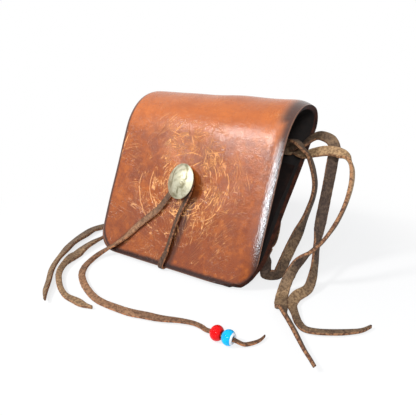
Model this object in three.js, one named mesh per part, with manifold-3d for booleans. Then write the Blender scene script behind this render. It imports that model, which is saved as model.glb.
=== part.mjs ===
// Leather belt pouch: one strip of leather is the back panel, the rounded top fold and the front flap.
// A front panel and two pleated side gussets make the wedge-shaped body behind the flap.
// A lace hooked round a domed button holds the flap shut, and thongs knotted at both sides tie it to a belt.
// Millimetres, +Z up, +X to the right of the front, +Y to the back. The floor is z = 0.
import * as THREE from "three";
import { ConvexGeometry } from "three/addons/geometries/ConvexGeometry.js";
import { mergeVertices } from "three/addons/utils/BufferGeometryUtils.js";
import Module from "manifold-3d";

const wasm = await Module();
wasm.setup();

// Stance: the pouch leans back and is propped by its belt loops
const leanDeg = 24;
const stackLift = 1.5;

// Leather strip: flap, fold and back panel, measured along the flap (up) and behind it (depth)
const pouchWidth = 122;
const stripLeather = 3.2;
const flapTip = 2.5;
const foldStart = 90;
const frontFoldRadius = 36;
const backFoldRadius = 12;
const wedgeDeg = 19.5;
const flapCornerLeft = 14;
const flapCornerRight = 20;
const foldSplitGap = 0.3;

// Body behind the flap
const bodyCornerRadius = 26;
const lacePassage = 2.5;
const frontLeather = 2.6;
const frontInset = 2.5;
const frontTop = 88;
const gussetLeather = 1.5;
const gussetInset = 1.5;
const gussetPleat = 10;
const gussetBottom = 18;
const gussetTop = 84;
const touchGap = 0.3;

// Button that the lace hooks round
const buttonX = -0.5;
const buttonHeight = 57.5;
const buttonDiameter = 23;
const buttonStandOff = 4.2;
const buttonTiltDeg = 13;
const buttonDome = 3.9;
const buttonRim = 0.9;
const postRadius = 3;
const postHoleClearance = 0.3;
const washerRadius = 5.5;
const washerThickness = 1.1;

// Lace and thongs
const laceThickness = 2;
const laceHoleRadius = 1.8;
const laceHoleX = -4;
const laceHoleHeight = 27;
const laceKnotRadius = 2.6;
const thongThickness = 2.4;
const thongWidth = 7;
const slotClearance = 0.6;
const slotX = 38;
const upperSlotHeight = 95;
const lowerSlotHeight = 30;
const sideLoopSlotX = 50;
const tieKnotInset = 12;
const tieKnotSize = [8.5, 5, 5];

// Beads on the end of the lace
const beadDiameter = 8;
const beadLength = 6;
const beadHoleRadius = 1.6;
const beadMouthRadius = 2.4;
const beadMouthDepth = 0.9;
const redBeadPlace = [66.6, -89.2, beadDiameter / 2];
const blueBeadPlace = [73.3, -89.3, beadDiameter / 2];

// The pouch frame: x across, y behind the flap's face, z up along the flap
const lean = THREE.MathUtils.degToRad(leanDeg);
const wedge = THREE.MathUtils.degToRad(wedgeDeg);
const buttonTilt = THREE.MathUtils.degToRad(buttonTiltDeg);
const halfWidth = pouchWidth / 2;
const foldDepth = frontFoldRadius;
const foldTop = foldStart + frontFoldRadius;
const backFoldCentre = foldTop - backFoldRadius;
const frontFace = stripLeather + lacePassage;
const frontBack = frontFace + frontLeather;

// The back panel slopes down from the fold to the seam, where it lies flat on the front panel
const slopeTop = backFoldCentre - backFoldRadius * Math.sin(wedge);
const slopeTopDepth = foldDepth + backFoldRadius * Math.cos(wedge);
const slopeLeather = stripLeather / Math.cos(wedge);
const seamInner = frontBack + touchGap;
const seamOuter = seamInner + stripLeather;
const seamOuterTop = slopeTop - (slopeTopDepth - seamOuter) / Math.tan(wedge);
const seamInnerTop = slopeTop - (slopeTopDepth - slopeLeather - seamInner) / Math.tan(wedge);
const panelOuterDepth = (height) => slopeTopDepth - (slopeTop - height) * Math.tan(wedge);
const panelInnerDepth = (height) => panelOuterDepth(height) - slopeLeather;

// The origin is under the middle of the pouch, between the flap's lower edge and the back of the fold
const originDepth =
  (flapTip * Math.sin(lean) +
    backFoldCentre * Math.sin(lean) + foldDepth * Math.cos(lean) + backFoldRadius) / 2;

// Materials
const leather = (color, roughness) =>
  new THREE.MeshStandardMaterial({ color, roughness, metalness: 0 });
const stripMaterial = leather(0xa9592f, 0.42);
const bodyMaterial = leather(0x5a3020, 0.6);
const thongMaterial = leather(0x6e5540, 0.85);
const buttonMaterial = new THREE.MeshStandardMaterial({ color: 0xb9b8a0, roughness: 0.35, metalness: 1 });
const redGlass = new THREE.MeshStandardMaterial({ color: 0xd01818, roughness: 0.12, metalness: 0 });
const blueGlass = new THREE.MeshStandardMaterial({ color: 0x00a5dd, roughness: 0.12, metalness: 0 });

// Solids
function solidFrom(geometry) {
  const bare = geometry.clone();
  bare.deleteAttribute("normal");
  bare.deleteAttribute("uv");
  const merged = mergeVertices(bare, 1e-4);
  return new wasm.Manifold(
    new wasm.Mesh({
      numProp: 3,
      vertProperties: merged.attributes.position.array,
      triVerts: new Uint32Array(merged.index.array),
    }),
  );
}

function geometryFrom(solid) {
  const mesh = solid.getMesh();
  const positions = new Float32Array(mesh.numVert * 3);
  for (let i = 0; i < mesh.numVert; i++)
    positions.set(mesh.vertProperties.subarray(i * mesh.numProp, i * mesh.numProp + 3), i * 3);
  const geometry = new THREE.BufferGeometry();
  geometry.setAttribute("position", new THREE.BufferAttribute(positions, 3));
  geometry.setIndex(new THREE.BufferAttribute(mesh.triVerts, 1));
  geometry.computeVertexNormals();
  return geometry;
}

// A side profile drawn as (depth, height), drawn out across the width
function acrossWidth(shape, width, curveSegments) {
  const geometry = new THREE.ExtrudeGeometry(shape, {
    depth: width,
    bevelEnabled: false,
    steps: 1,
    curveSegments,
  });
  geometry.translate(0, 0, -width / 2);
  const turn = new THREE.Matrix4().makeBasis(
    new THREE.Vector3(0, 1, 0),
    new THREE.Vector3(0, 0, 1),
    new THREE.Vector3(1, 0, 0),
  );
  return geometry.applyMatrix4(turn);
}

// A front outline drawn as (x, height), drawn out from one depth to another
function throughDepth(shape, fromDepth, toDepth, curveSegments) {
  const geometry = new THREE.ExtrudeGeometry(shape, {
    depth: toDepth - fromDepth,
    bevelEnabled: false,
    steps: 1,
    curveSegments,
  });
  const turn = new THREE.Matrix4().makeBasis(
    new THREE.Vector3(1, 0, 0),
    new THREE.Vector3(0, 0, 1),
    new THREE.Vector3(0, -1, 0),
  );
  return geometry.applyMatrix4(turn).translate(0, toDepth, 0);
}

// Outline of a panel with two round lower corners
function panelOutline(half, bottom, top, left, right) {
  const shape = new THREE.Shape();
  shape.moveTo(-half, top);
  shape.lineTo(-half, bottom + left);
  shape.absarc(-half + left, bottom + left, left, Math.PI, 1.5 * Math.PI, false);
  shape.lineTo(half - right, bottom);
  shape.absarc(half - right, bottom + right, right, 1.5 * Math.PI, 2 * Math.PI, false);
  shape.lineTo(half, top);
  shape.closePath();
  return shape;
}

// A round peg or hole cutter along the depth, and a slot cutter square to the back panel
function pegAlongDepth(x, height, radius, fromDepth, toDepth, sides) {
  const peg = new THREE.CylinderGeometry(radius, radius, toDepth - fromDepth, sides);
  return peg.translate(x, (fromDepth + toDepth) / 2, height);
}

function slotCutter(x, height) {
  const slot = new THREE.BoxGeometry(
    thongWidth + 2 * slotClearance,
    stripLeather * 4,
    thongThickness + 2 * slotClearance,
  );
  slot.rotateX(-wedge);
  const midDepth = (panelOuterDepth(height) + panelInnerDepth(height)) / 2;
  return slot.translate(x, midDepth, height);
}

// The pouch frame's place in the world, and the space under the floor seen from that frame
const pouchFrame = new THREE.Group();
pouchFrame.rotation.x = -lean;
pouchFrame.position.set(0, -originDepth, stackLift);
pouchFrame.updateMatrixWorld(true);
const underFloorDepth = 40;
const underFloor = new THREE.BoxGeometry(2 * pouchWidth, 4 * pouchWidth, underFloorDepth);
underFloor.translate(0, 0, -underFloorDepth / 2);
underFloor.applyMatrix4(pouchFrame.matrixWorld.clone().invert());

// The height up the flap at which a given depth meets the floor
function floorHeight(depth) {
  return (depth * Math.sin(lean) - stackLift) / Math.cos(lean);
}

const root = new THREE.Group();
root.add(pouchFrame);

function addMesh(parent, name, geometry, material) {
  const mesh = new THREE.Mesh(geometry, material);
  mesh.name = name;
  parent.add(mesh);
  return mesh;
}

// Front flap with the wide front half of the fold
function flapGeometry() {
  const inner = frontFoldRadius - stripLeather;
  const endAngle = Math.PI / 2 + foldSplitGap / 2 / frontFoldRadius;
  const profile = new THREE.Shape();
  profile.moveTo(0, flapTip);
  profile.lineTo(0, foldStart);
  profile.absarc(frontFoldRadius, foldStart, frontFoldRadius, Math.PI, endAngle, true);
  profile.absarc(frontFoldRadius, foldStart, inner, endAngle, Math.PI, false);
  profile.lineTo(stripLeather, flapTip);
  profile.closePath();
  const outline = panelOutline(halfWidth, flapTip, foldTop + 1, flapCornerLeft, flapCornerRight);
  const hole = pegAlongDepth(
    buttonX, buttonHeight, postRadius + postHoleClearance, -1, stripLeather + 1, 24,
  );
  return geometryFrom(
    solidFrom(acrossWidth(profile, pouchWidth + 2, 16))
      .intersect(solidFrom(throughDepth(outline, -1, foldDepth + 1, 8)))
      .subtract(solidFrom(hole)),
  );
}

// Back panel with the tight back half of the fold, cut level where it meets the floor
function backPanelGeometry() {
  const inner = backFoldRadius - stripLeather;
  const startAngle = Math.PI / 2 - foldSplitGap / 2 / backFoldRadius;
  const bottom = floorHeight(seamInner);
  const profile = new THREE.Shape();
  profile.absarc(foldDepth, backFoldCentre, backFoldRadius, startAngle, -wedge, true);
  profile.lineTo(seamOuter, seamOuterTop);
  profile.lineTo(seamOuter, bottom - 1);
  profile.lineTo(seamInner, bottom - 1);
  profile.lineTo(seamInner, seamInnerTop);
  profile.absarc(foldDepth, backFoldCentre, inner, -wedge, startAngle, false);
  profile.closePath();
  const outline = panelOutline(halfWidth, bottom, foldTop + 1, bodyCornerRadius, bodyCornerRadius);
  let panel = solidFrom(acrossWidth(profile, pouchWidth + 2, 12))
    .intersect(solidFrom(throughDepth(outline, -1, 2 * foldDepth, 8)))
    .subtract(solidFrom(underFloor));
  const slots = [
    [slotX, upperSlotHeight],
    [-slotX, upperSlotHeight],
    [slotX, lowerSlotHeight],
    [-slotX, lowerSlotHeight],
    [sideLoopSlotX, lowerSlotHeight],
  ];
  for (const [x, height] of slots)
    panel = panel.subtract(solidFrom(slotCutter(x, height)));
  return geometryFrom(panel);
}

// Front panel, hidden by the flap, with the hole that the lace comes out of
function frontPanelGeometry() {
  const bottom = floorHeight(frontFace);
  const radius = bodyCornerRadius - frontInset;
  const outline = panelOutline(halfWidth - frontInset, bottom, frontTop, radius, radius);
  const hole = pegAlongDepth(
    laceHoleX, laceHoleHeight, laceHoleRadius, frontFace - 1, frontBack + 1, 16,
  );
  return geometryFrom(
    solidFrom(throughDepth(outline, frontFace, frontBack, 8))
      .subtract(solidFrom(underFloor))
      .subtract(solidFrom(hole)),
  );
}

// One half of a gusset: a thin three-cornered sheet, hulled from its two faces
function gussetLeaf(side, corners) {
  const points = [];
  for (const [x, depth, height] of corners) {
    points.push(new THREE.Vector3(side * x, depth, height));
    points.push(new THREE.Vector3(side * (x - gussetLeather), depth, height));
  }
  return solidFrom(new ConvexGeometry(points));
}

// Side gusset: two leaves that share an inward pleat, from the seam up to full depth at the mouth
function gussetGeometry(side) {
  const edgeX = halfWidth - frontInset - gussetInset;
  const frontDepth = frontBack + touchGap;
  const backDepth = (height) => panelInnerDepth(height) - touchGap;
  const foot = [edgeX, (frontDepth + backDepth(gussetBottom)) / 2, gussetBottom];
  const pleat = [edgeX - gussetPleat, (frontDepth + backDepth(gussetTop)) / 2, gussetTop];
  const front = gussetLeaf(side, [foot, [edgeX, frontDepth, gussetTop], pleat]);
  const back = gussetLeaf(side, [foot, [edgeX, backDepth(gussetTop), gussetTop], pleat]);
  return geometryFrom(front.add(back));
}

addMesh(pouchFrame, "back_panel", backPanelGeometry(), stripMaterial);
addMesh(pouchFrame, "flap", flapGeometry(), stripMaterial);
addMesh(pouchFrame, "front_panel", frontPanelGeometry(), bodyMaterial);
addMesh(pouchFrame, "gusset_right", gussetGeometry(1), bodyMaterial);
addMesh(pouchFrame, "gusset_left", gussetGeometry(-1), bodyMaterial);

// Domed button. The lace wrapped round its post tilts its face to the left
function buttonGeometry() {
  const edge = buttonDiameter / 2;
  const sphere = (edge * edge + (buttonDome - buttonRim) ** 2) / (2 * (buttonDome - buttonRim));
  const points = [new THREE.Vector2(0, 0), new THREE.Vector2(edge, 0)];
  const rings = 8;
  for (let i = 0; i <= rings; i++) {
    const radius = edge * (1 - i / rings);
    const height = buttonDome - sphere + Math.sqrt(sphere * sphere - radius * radius);
    points.push(new THREE.Vector2(i === rings ? 0 : radius, height));
  }
  return new THREE.LatheGeometry(points, 40);
}

// Post from the washer inside the flap to the tilted back of the button
const postTop = -(buttonStandOff - touchGap - postRadius * Math.tan(buttonTilt));
const washerTop = stripLeather + touchGap;
const button = addMesh(pouchFrame, "button_dome", buttonGeometry(), buttonMaterial);
button.rotation.set(Math.PI, 0, buttonTilt);
button.position.set(buttonX, -buttonStandOff, buttonHeight);
addMesh(
  pouchFrame, "button_post",
  pegAlongDepth(buttonX, buttonHeight, postRadius, postTop, stripLeather, 24), buttonMaterial,
);
addMesh(
  pouchFrame, "button_washer",
  pegAlongDepth(buttonX, buttonHeight, washerRadius, washerTop, washerTop + washerThickness, 24),
  buttonMaterial,
);

// A smooth curve whose rings follow its points, so that they are close together where it turns tightly
class CordRoute extends THREE.CatmullRomCurve3 {
  getUtoTmapping(share) {
    return share;
  }
}

// A cord is a plain round tube through points chosen by hand, in the world frame
const cordSides = 8;
function cordGeometry(points, thickness, ringsPerPoint) {
  const route = new CordRoute(
    points.map(([x, y, z]) => new THREE.Vector3(x, y, z)), false, "centripetal",
  );
  const section = new THREE.Shape();
  for (let i = 0; i < cordSides; i++) {
    const angle = ((i + 0.5) * 2 * Math.PI) / cordSides;
    const x = (Math.cos(angle) * thickness) / 2;
    const y = (Math.sin(angle) * thickness) / 2;
    if (i === 0) section.moveTo(x, y);
    else section.lineTo(x, y);
  }
  section.closePath();
  const steps = ringsPerPoint * (points.length - 1);
  const geometry = new THREE.ExtrudeGeometry(section, {
    extrudePath: route, steps, bevelEnabled: false, curveSegments: 1,
  });
  return geometryFrom(solidFrom(geometry));
}

function addCord(name, points, thickness, ringsPerPoint = 2) {
  return addMesh(root, name, cordGeometry(points, thickness, ringsPerPoint), thongMaterial);
}

// Lace: from its hole down inside the flap, round the flap's lower edge, up and round the post, then to the floor
const laceRoute = [
  [-4, -31.1, 24.4], [-4, -36, 13.4], [-4, -39.2, 6.1], [-4, -40.7, 2.8], [-3.9, -41.6, 1.5],
  [-3.9, -42.8, 1.3], [-3.8, -44.5, 1.5], [-3.7, -45.8, 2.2], [-3.6, -46.5, 3.5], [-3.4, -45.8, 5.7],
  [-1.8, -43.3, 11.2], [-0.6, -39.2, 20.3],
  [0.8, -34.3, 31.3], [2.6, -30.8, 39.1], [4.8, -28.1, 45.3], [5.9, -26.1, 49.8],
  [5.7, -23.9, 54.6], [3.8, -22, 58.8], [0, -21.2, 60.7], [-3.9, -21.9, 59.1],
  [-6.2, -23.7, 55.2], [-7.1, -25.7, 50.7], [-8.4, -27.4, 46.8],
  [-10.8, -29.2, 42.7], [-15.3, -32.3, 35.7], [-21.9, -35, 29.6], [-29.3, -38.1, 22.7],
  [-37.4, -41.9, 14.2], [-44.7, -44.6, 8.2], [-49.5, -47.1, 4.8], [-51.4, -51.7, 3],
  [-51.2, -58.2, 2], [-49.4, -65.6, 1.2], [-45.7, -72.6, 1.2], [-39.8, -79.7, 1.2],
  [-29.8, -87.1, 1.2], [-21.3, -91.7, 1.2], [-11.1, -95.9, 1.2], [-3.4, -97.3, 1.2],
  [5.9, -97.4, 1.2], [16.2, -96.7, 1.2], [24.8, -94.5, 1.2], [33.3, -92.3, 1.2],
  [43.1, -88.1, 1.2], [50.7, -86.1, 1.2], [56.5, -86.5, 1.3], [61, -88.4, 2.8],
  redBeadPlace, blueBeadPlace, [77.4, -88.9, 3.3], [80.8, -86.7, 1.4],
  [83.6, -83.2, 1.2], [85.3, -79.2, 1.2], [85.6, -74.8, 1.2],
];

// Thong behind each side of the back panel, out of the upper slot and back in at the lower one
const beltLoopRoute = [
  [39.5, 25.3, 75.5], [38, 27.4, 73.7], [38, 30.8, 70.5], [38, 34.8, 66], [38, 37.8, 58],
  [38, 38.8, 46], [38, 38.4, 33], [38, 37.4, 20], [38, 35.2, 9], [38, 30.8, 2.8],
  [38, 24.8, 1.25], [38, 16.8, 1.25], [38, 8.8, 1.25], [38, 1.8, 2.4], [38, -4.2, 7],
  [38, -8.7, 12.2], [38, -12.4, 16.4], [38, -15.2, 19.1], [38, -18.1, 21.9], [38, -20.3, 23.9],
];

// Thong that drops beside the right end from the knot to the floor and turns up into the lower slot
const sideLoopRoute = [
  [54.5, 17.8, 79.6], [57, 13.8, 81.2], [61.2, 11.2, 80.6], [64.7, 10.9, 77.5], [67, 13.9, 73.5],
  [69, 14.9, 68.5], [70.6, 15.9, 62.8], [72.2, 15.9, 54.7], [71.9, 14.9, 47], [70.6, 12.9, 40.1],
  [69, 9.9, 32.5], [67, 4.9, 23.4], [65.7, 0.9, 17.7], [64.6, -5.2, 10.6], [64.2, -11.6, 5],
  [63.6, -16.4, 2], [61.2, -19.1, 1.3], [58.4, -18.8, 2.2], [57, -17.6, 7], [57, -15.6, 13],
  [55.4, -12.8, 17], [52.6, -12.4, 17.6], [50.3, -14, 18.2], [50, -16.6, 20.4], [50, -19.4, 23.1],
];

// Long tail: over the top of the bunch, down to the floor and off to the right
const longTailRoute = [
  [57.9, 24.6, 76.3], [60, 25.2, 77.6], [62.6, 27.4, 80.6], [67.2, 27.9, 83.4], [72.5, 25.9, 83.6], [78.2, 22.9, 81.9],
  [81.2, 20.9, 77.6], [81, 18.9, 71.1], [80.9, 16.9, 62.2], [80.2, 15.9, 52.7], [79.8, 13.9, 43.4],
  [79.7, 10.9, 34.4], [80.2, 6.9, 25.7], [81.4, 1.9, 19.5], [84.1, -6.1, 13.5], [85.9, -13.1, 8.3],
  [86.6, -20.1, 3.8], [85.6, -26.9, 1.8], [84, -33.6, 1.3], [84.9, -40.4, 1.3], [90.4, -48.9, 1.3],
  [95.5, -55.7, 1.3], [99.9, -58.8, 1.3], [105, -58, 1.3], [113.7, -53.3, 1.3],
  [119.8, -48.7, 1.3], [124.4, -44.1, 1.3], [127.3, -38, 1.3],
];

// Short tail: a high arch out to the right, across the long tail and forward along the floor
const shortTailRoute = [
  [56.6, 21.5, 73.2], [59.6, 20.6, 72.4], [63, 19.9, 72.2], [67.2, 19.9, 73.7], [76.1, 17.9, 76.4], [84.8, 13.9, 77.5],
  [91.6, 9.9, 76.1], [96.4, 5.9, 72.3], [98.3, 2.9, 66.1], [98.4, 0.9, 59.6], [97.1, -1.1, 50.9],
  [94.8, -4.1, 42.2], [92.6, -8.1, 36.3], [89.3, -12.1, 30], [85.4, -15.1, 25.1], [81.2, -17.6, 20.6],
  [77.8, -20.1, 15.8], [76, -23.1, 11.1], [75.4, -28.1, 6.4], [76.4, -34.6, 2.4], [79.8, -43.7, 1.3],
  [85, -52.4, 1.3], [90.8, -58.8, 1.3], [96.2, -64.8, 1.3], [102.6, -72.4, 1.3], [108.2, -78.8, 1.3],
  [112.3, -82.9, 1.3], [115.6, -86.5, 1.3],
];

// Two tails that fall behind the left end and come forward along the floor
const outerTailRoute = [
  [-57.9, 24.6, 76.3], [-60.4, 25.4, 77.4], [-64, 25.8, 78], [-69, 24.4, 75], [-73.4, 21.4, 67], [-76, 17.8, 55],
  [-77.6, 13.8, 41], [-79.6, 8.4, 26], [-82.2, 0.8, 12], [-85.4, -7.2, 3.6], [-88.4, -14.8, 1.3],
  [-89.6, -22.6, 1.3], [-86.9, -34.2, 1.3], [-80.6, -52.4, 1.3], [-74.2, -64.4, 1.3],
  [-67.2, -76.4, 1.3], [-59.2, -87, 1.3], [-47.6, -98.8, 1.3], [-39, -107.8, 1.3], [-32, -113.8, 1.3],
];
const innerTailRoute = [
  [-56.6, 21.5, 73.2], [-59.8, 20.6, 72.4], [-63.4, 19.4, 71.6], [-66.4, 16.4, 65], [-68, 12.2, 52], [-69, 6.8, 36],
  [-70, -0.2, 20], [-71, -9.8, 7], [-71, -19.8, 1.8], [-70, -30.1, 1.3], [-70.4, -39.5, 1.3],
  [-68.4, -50.9, 1.3], [-63.2, -67, 1.3], [-57.6, -79.2, 1.3], [-51.4, -87.6, 1.3],
  [-44, -94, 1.3], [-35.6, -99.6, 1.3], [-26.4, -103.4, 1.3], [-18.6, -103.8, 1.3],
  [-10.6, -104.4, 1.3], [-5.3, -103.6, 1.3],
];

addCord("closure_lace", laceRoute, laceThickness, 1);
addCord("belt_loop_right", beltLoopRoute, thongThickness);
addCord("belt_loop_left", beltLoopRoute.map(([x, y, z]) => [-x, y, z]), thongThickness);
addCord("side_loop_right", sideLoopRoute, thongThickness);
addCord("long_tail_right", longTailRoute, thongThickness);
addCord("short_tail_right", shortTailRoute, thongThickness);
addCord("outer_tail_left", outerTailRoute, thongThickness);
addCord("inner_tail_left", innerTailRoute, thongThickness);

// Knots that hold the thongs against the inside of the back panel, under the fold
function tieKnot(name, side) {
  const [alongX, alongDepth, alongHeight] = tieKnotSize;
  const height = upperSlotHeight + 1;
  const depth = panelInnerDepth(height) - (alongDepth + touchGap) / Math.cos(wedge);
  const knot = addMesh(pouchFrame, name, new THREE.SphereGeometry(1, 20, 12), thongMaterial);
  knot.scale.set(alongX, alongDepth, alongHeight);
  knot.position.set(side * (halfWidth - tieKnotInset), depth, height);
}
tieKnot("tie_knot_right", 1);
tieKnot("tie_knot_left", -1);

// Stopper knot of the lace inside the body, with its neck through the front panel
const knotDepth = frontBack + touchGap + laceKnotRadius;
const knotBall = new THREE.SphereGeometry(laceKnotRadius, 16, 10).translate(
  laceHoleX, knotDepth, laceHoleHeight,
);
const knotNeck = pegAlongDepth(
  laceHoleX, laceHoleHeight, laceHoleRadius - touchGap, frontFace, knotDepth, 16,
);
addMesh(
  pouchFrame, "lace_knot",
  geometryFrom(solidFrom(knotBall).add(solidFrom(knotNeck))), thongMaterial,
);

// Beads threaded on the lace, lying on the floor
function beadGeometry() {
  const outer = beadDiameter / 2;
  const half = beadLength / 2;
  const firstAngle = Math.asin(beadMouthRadius / outer);
  const reach = half / Math.cos(firstAngle);
  const points = [new THREE.Vector2(beadHoleRadius, beadMouthDepth - half)];
  const steps = 14;
  for (let i = 0; i <= steps; i++) {
    const angle = firstAngle + (i / steps) * (Math.PI - 2 * firstAngle);
    points.push(new THREE.Vector2(outer * Math.sin(angle), -reach * Math.cos(angle)));
  }
  points.push(new THREE.Vector2(beadHoleRadius, half - beadMouthDepth));
  points.push(points[0].clone());
  return new THREE.LatheGeometry(points, 28).rotateZ(-Math.PI / 2);
}

function addBead(name, place, material) {
  addMesh(root, name, beadGeometry(), material).position.set(...place);
}
addBead("red_bead", redBeadPlace, redGlass);
addBead("blue_bead", blueBeadPlace, blueGlass);

export default root;
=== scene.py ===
import math

import bmesh
import bpy
from mathutils import Matrix, Vector, noise


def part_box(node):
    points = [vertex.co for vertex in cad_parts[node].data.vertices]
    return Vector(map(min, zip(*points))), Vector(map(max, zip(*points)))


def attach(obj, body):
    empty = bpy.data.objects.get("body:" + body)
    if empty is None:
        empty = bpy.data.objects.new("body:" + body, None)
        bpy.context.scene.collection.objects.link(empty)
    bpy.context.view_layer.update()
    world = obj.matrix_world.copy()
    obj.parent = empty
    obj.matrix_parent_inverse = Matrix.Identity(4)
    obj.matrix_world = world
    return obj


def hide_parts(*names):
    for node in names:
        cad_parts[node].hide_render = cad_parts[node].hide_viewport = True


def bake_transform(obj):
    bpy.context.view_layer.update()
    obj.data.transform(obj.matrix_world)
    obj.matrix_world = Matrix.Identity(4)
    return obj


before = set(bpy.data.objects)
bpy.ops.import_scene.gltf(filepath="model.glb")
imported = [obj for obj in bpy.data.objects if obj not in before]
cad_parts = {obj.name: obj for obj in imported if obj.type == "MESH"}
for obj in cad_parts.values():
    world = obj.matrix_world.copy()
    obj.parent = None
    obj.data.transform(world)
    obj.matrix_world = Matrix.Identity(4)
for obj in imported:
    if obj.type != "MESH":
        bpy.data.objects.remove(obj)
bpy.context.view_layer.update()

bl_info = {
    "name": "Leather belt pouch",
    "version": (1, 0, 0),
    "blender": (4, 5, 0),
    "location": "View3D > Sidebar > Belt pouch",
    "description": "Cuts, folds, ties and photographs a leather belt pouch round its packed CAD frame",
    "category": "Add Mesh",
}

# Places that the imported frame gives, in metres
FLAP_LOW, FLAP_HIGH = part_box("flap")
HALF_WIDTH = (FLAP_HIGH[0] - FLAP_LOW[0]) / 2

# Construction of the pouch, in metres and radians. Depth goes behind the flap's face, height up along it
LEAN = math.radians(24)
WEDGE = math.radians(19.5)
LIFT = 0.0015
FLAP_TIP = 0.0025
TIP_DROP = 0.0012
FOLD_START = 0.090
FRONT_FOLD = 0.036
BACK_FOLD = 0.012
FLAP_CORNERS = (0.014, 0.020)
BODY_CORNER = 0.026
STRIP_LEATHER = 0.0032
SEAM_DEPTH = 0.0118
FRONT_FACE = 0.0057
FRONT_LEATHER = 0.0026
FRONT_INSET = 0.0025
FRONT_TOP = 0.088
GUSSET_LEATHER = 0.0015
GUSSET_EDGE = 0.057
GUSSET_PLEAT = 0.010
GUSSET_FOOT = 0.018
GUSSET_TOP = 0.084
BACK_SPLIT = 0.100
SEAM_GAP = 0.0003
SLOTS = [(0.038, 0.095), (-0.038, 0.095), (0.038, 0.030), (-0.038, 0.030), (0.050, 0.030)]
SLOT_SIZE = (0.0082, 0.012, 0.0036)
POST_HOLE = (0.0033, 0.012)
STITCH_HALVES = (0.0017, 0.0005, 0.0003)
BUTTON_PLACE = (-0.0005, -0.0042, 0.0575)
BUTTON_RADIUS = 0.0115
BUTTON_TILT = math.radians(13)
BUTTON_DOME = 0.0039
BUTTON_RIM = 0.0009
BUTTON_RELIEF = 0.00034
MAP_SCALE = 10.0
ORIGIN_DEPTH = FLAP_TIP * math.sin(LEAN) - FLAP_LOW[1]
ACROSS = Vector((1, 0, 0))
BEHIND = Vector((0, math.cos(LEAN), -math.sin(LEAN)))
UPWARD = Vector((0, math.sin(LEAN), math.cos(LEAN)))
OUTWARD = -BEHIND
FLOOR_UP = Vector((0, 0, 1))

# The camera that was fitted to the photograph
CAMERA_PLACE = (0.169125, -0.252567, 0.135423)
CAMERA_TURN = (math.radians(70.526), 0, math.radians(33.487))
CAMERA_LENS = 39.87
CAMERA_SHIFT = (0.00123, 0.00758)


def in_metres(points):
    """Points that are given in tenths of a millimetre."""
    return [tuple(part / 10000 for part in point) for point in points]


# Routes of the lace and the thongs, the same points as in the part's source
LACE_ROUTE = in_metres((
    (-40, -311, 244), (-40, -360, 134), (-40, -392, 61), (-40, -407, 28), (-39, -416, 15), (-39, -428, 13),
    (-38, -445, 15), (-37, -458, 22), (-36, -465, 35), (-34, -458, 57), (-18, -433, 112), (-6, -392, 203),
    (8, -343, 313), (26, -308, 391), (48, -281, 453), (59, -261, 498), (57, -239, 546), (38, -220, 588),
    (0, -212, 607), (-39, -219, 591), (-62, -237, 552), (-71, -257, 507), (-84, -274, 468),
    (-108, -292, 427), (-153, -323, 357), (-219, -350, 296), (-293, -381, 227), (-374, -419, 142),
    (-447, -446, 82), (-495, -471, 48), (-514, -517, 30), (-512, -582, 20), (-494, -656, 12),
    (-457, -726, 12), (-398, -797, 12), (-298, -871, 12), (-213, -917, 12), (-111, -959, 12),
    (-34, -973, 12), (59, -974, 12), (162, -967, 12), (248, -945, 12), (333, -923, 12), (431, -881, 12),
    (507, -861, 12), (565, -865, 13), (610, -884, 28), (666, -892, 40), (733, -893, 40), (774, -889, 33),
    (808, -867, 14), (836, -832, 12), (853, -792, 12), (856, -748, 12),
))
BELT_LOOP_ROUTE = in_metres((
    (395, 253, 755), (380, 274, 737), (380, 308, 705), (380, 348, 660), (380, 378, 580), (380, 388, 460),
    (380, 384, 330), (380, 374, 200), (380, 352, 90), (380, 308, 28), (380, 248, 12.5), (380, 168, 12.5),
    (380, 88, 12.5), (380, 18, 24), (380, -42, 70), (380, -87, 122), (380, -124, 164), (380, -152, 191),
    (380, -181, 219), (380, -203, 239),
))
SIDE_LOOP_ROUTE = in_metres((
    (545, 178, 796), (570, 138, 812), (612, 112, 806), (647, 109, 775), (670, 139, 735), (690, 149, 685),
    (706, 159, 628), (722, 159, 547), (719, 149, 470), (706, 129, 401), (690, 99, 325), (670, 49, 234),
    (657, 9, 177), (646, -52, 106), (642, -116, 50), (636, -164, 20), (612, -191, 13), (584, -188, 22),
    (570, -176, 70), (570, -156, 130), (554, -128, 170), (526, -124, 176), (503, -140, 182),
    (500, -166, 204), (500, -194, 231),
))
LONG_TAIL_ROUTE = in_metres((
    (579, 246, 763), (600, 252, 776), (626, 274, 806), (672, 279, 834), (725, 259, 836), (782, 229, 819),
    (812, 209, 776), (810, 189, 711), (809, 169, 622), (802, 159, 527), (798, 139, 434), (797, 109, 344),
    (802, 69, 257), (814, 19, 195), (841, -61, 135), (859, -131, 83), (866, -201, 38), (856, -269, 18),
    (840, -336, 13), (849, -404, 13), (904, -489, 13), (955, -557, 13), (999, -588, 13), (1050, -580, 13),
    (1137, -533, 13), (1198, -487, 13), (1244, -441, 13), (1273, -380, 13),
))
SHORT_TAIL_ROUTE = in_metres((
    (566, 215, 732), (596, 206, 724), (630, 199, 722), (672, 199, 737), (761, 179, 764), (848, 139, 775),
    (916, 99, 761), (964, 59, 723), (983, 29, 661), (984, 9, 596), (971, -11, 509), (948, -41, 422),
    (926, -81, 363), (893, -121, 300), (854, -151, 251), (812, -176, 206), (778, -201, 158),
    (760, -231, 111), (754, -281, 64), (764, -346, 24), (798, -437, 13), (850, -524, 13), (908, -588, 13),
    (962, -648, 13), (1026, -724, 13), (1082, -788, 13), (1123, -829, 13), (1156, -865, 13),
))
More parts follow.
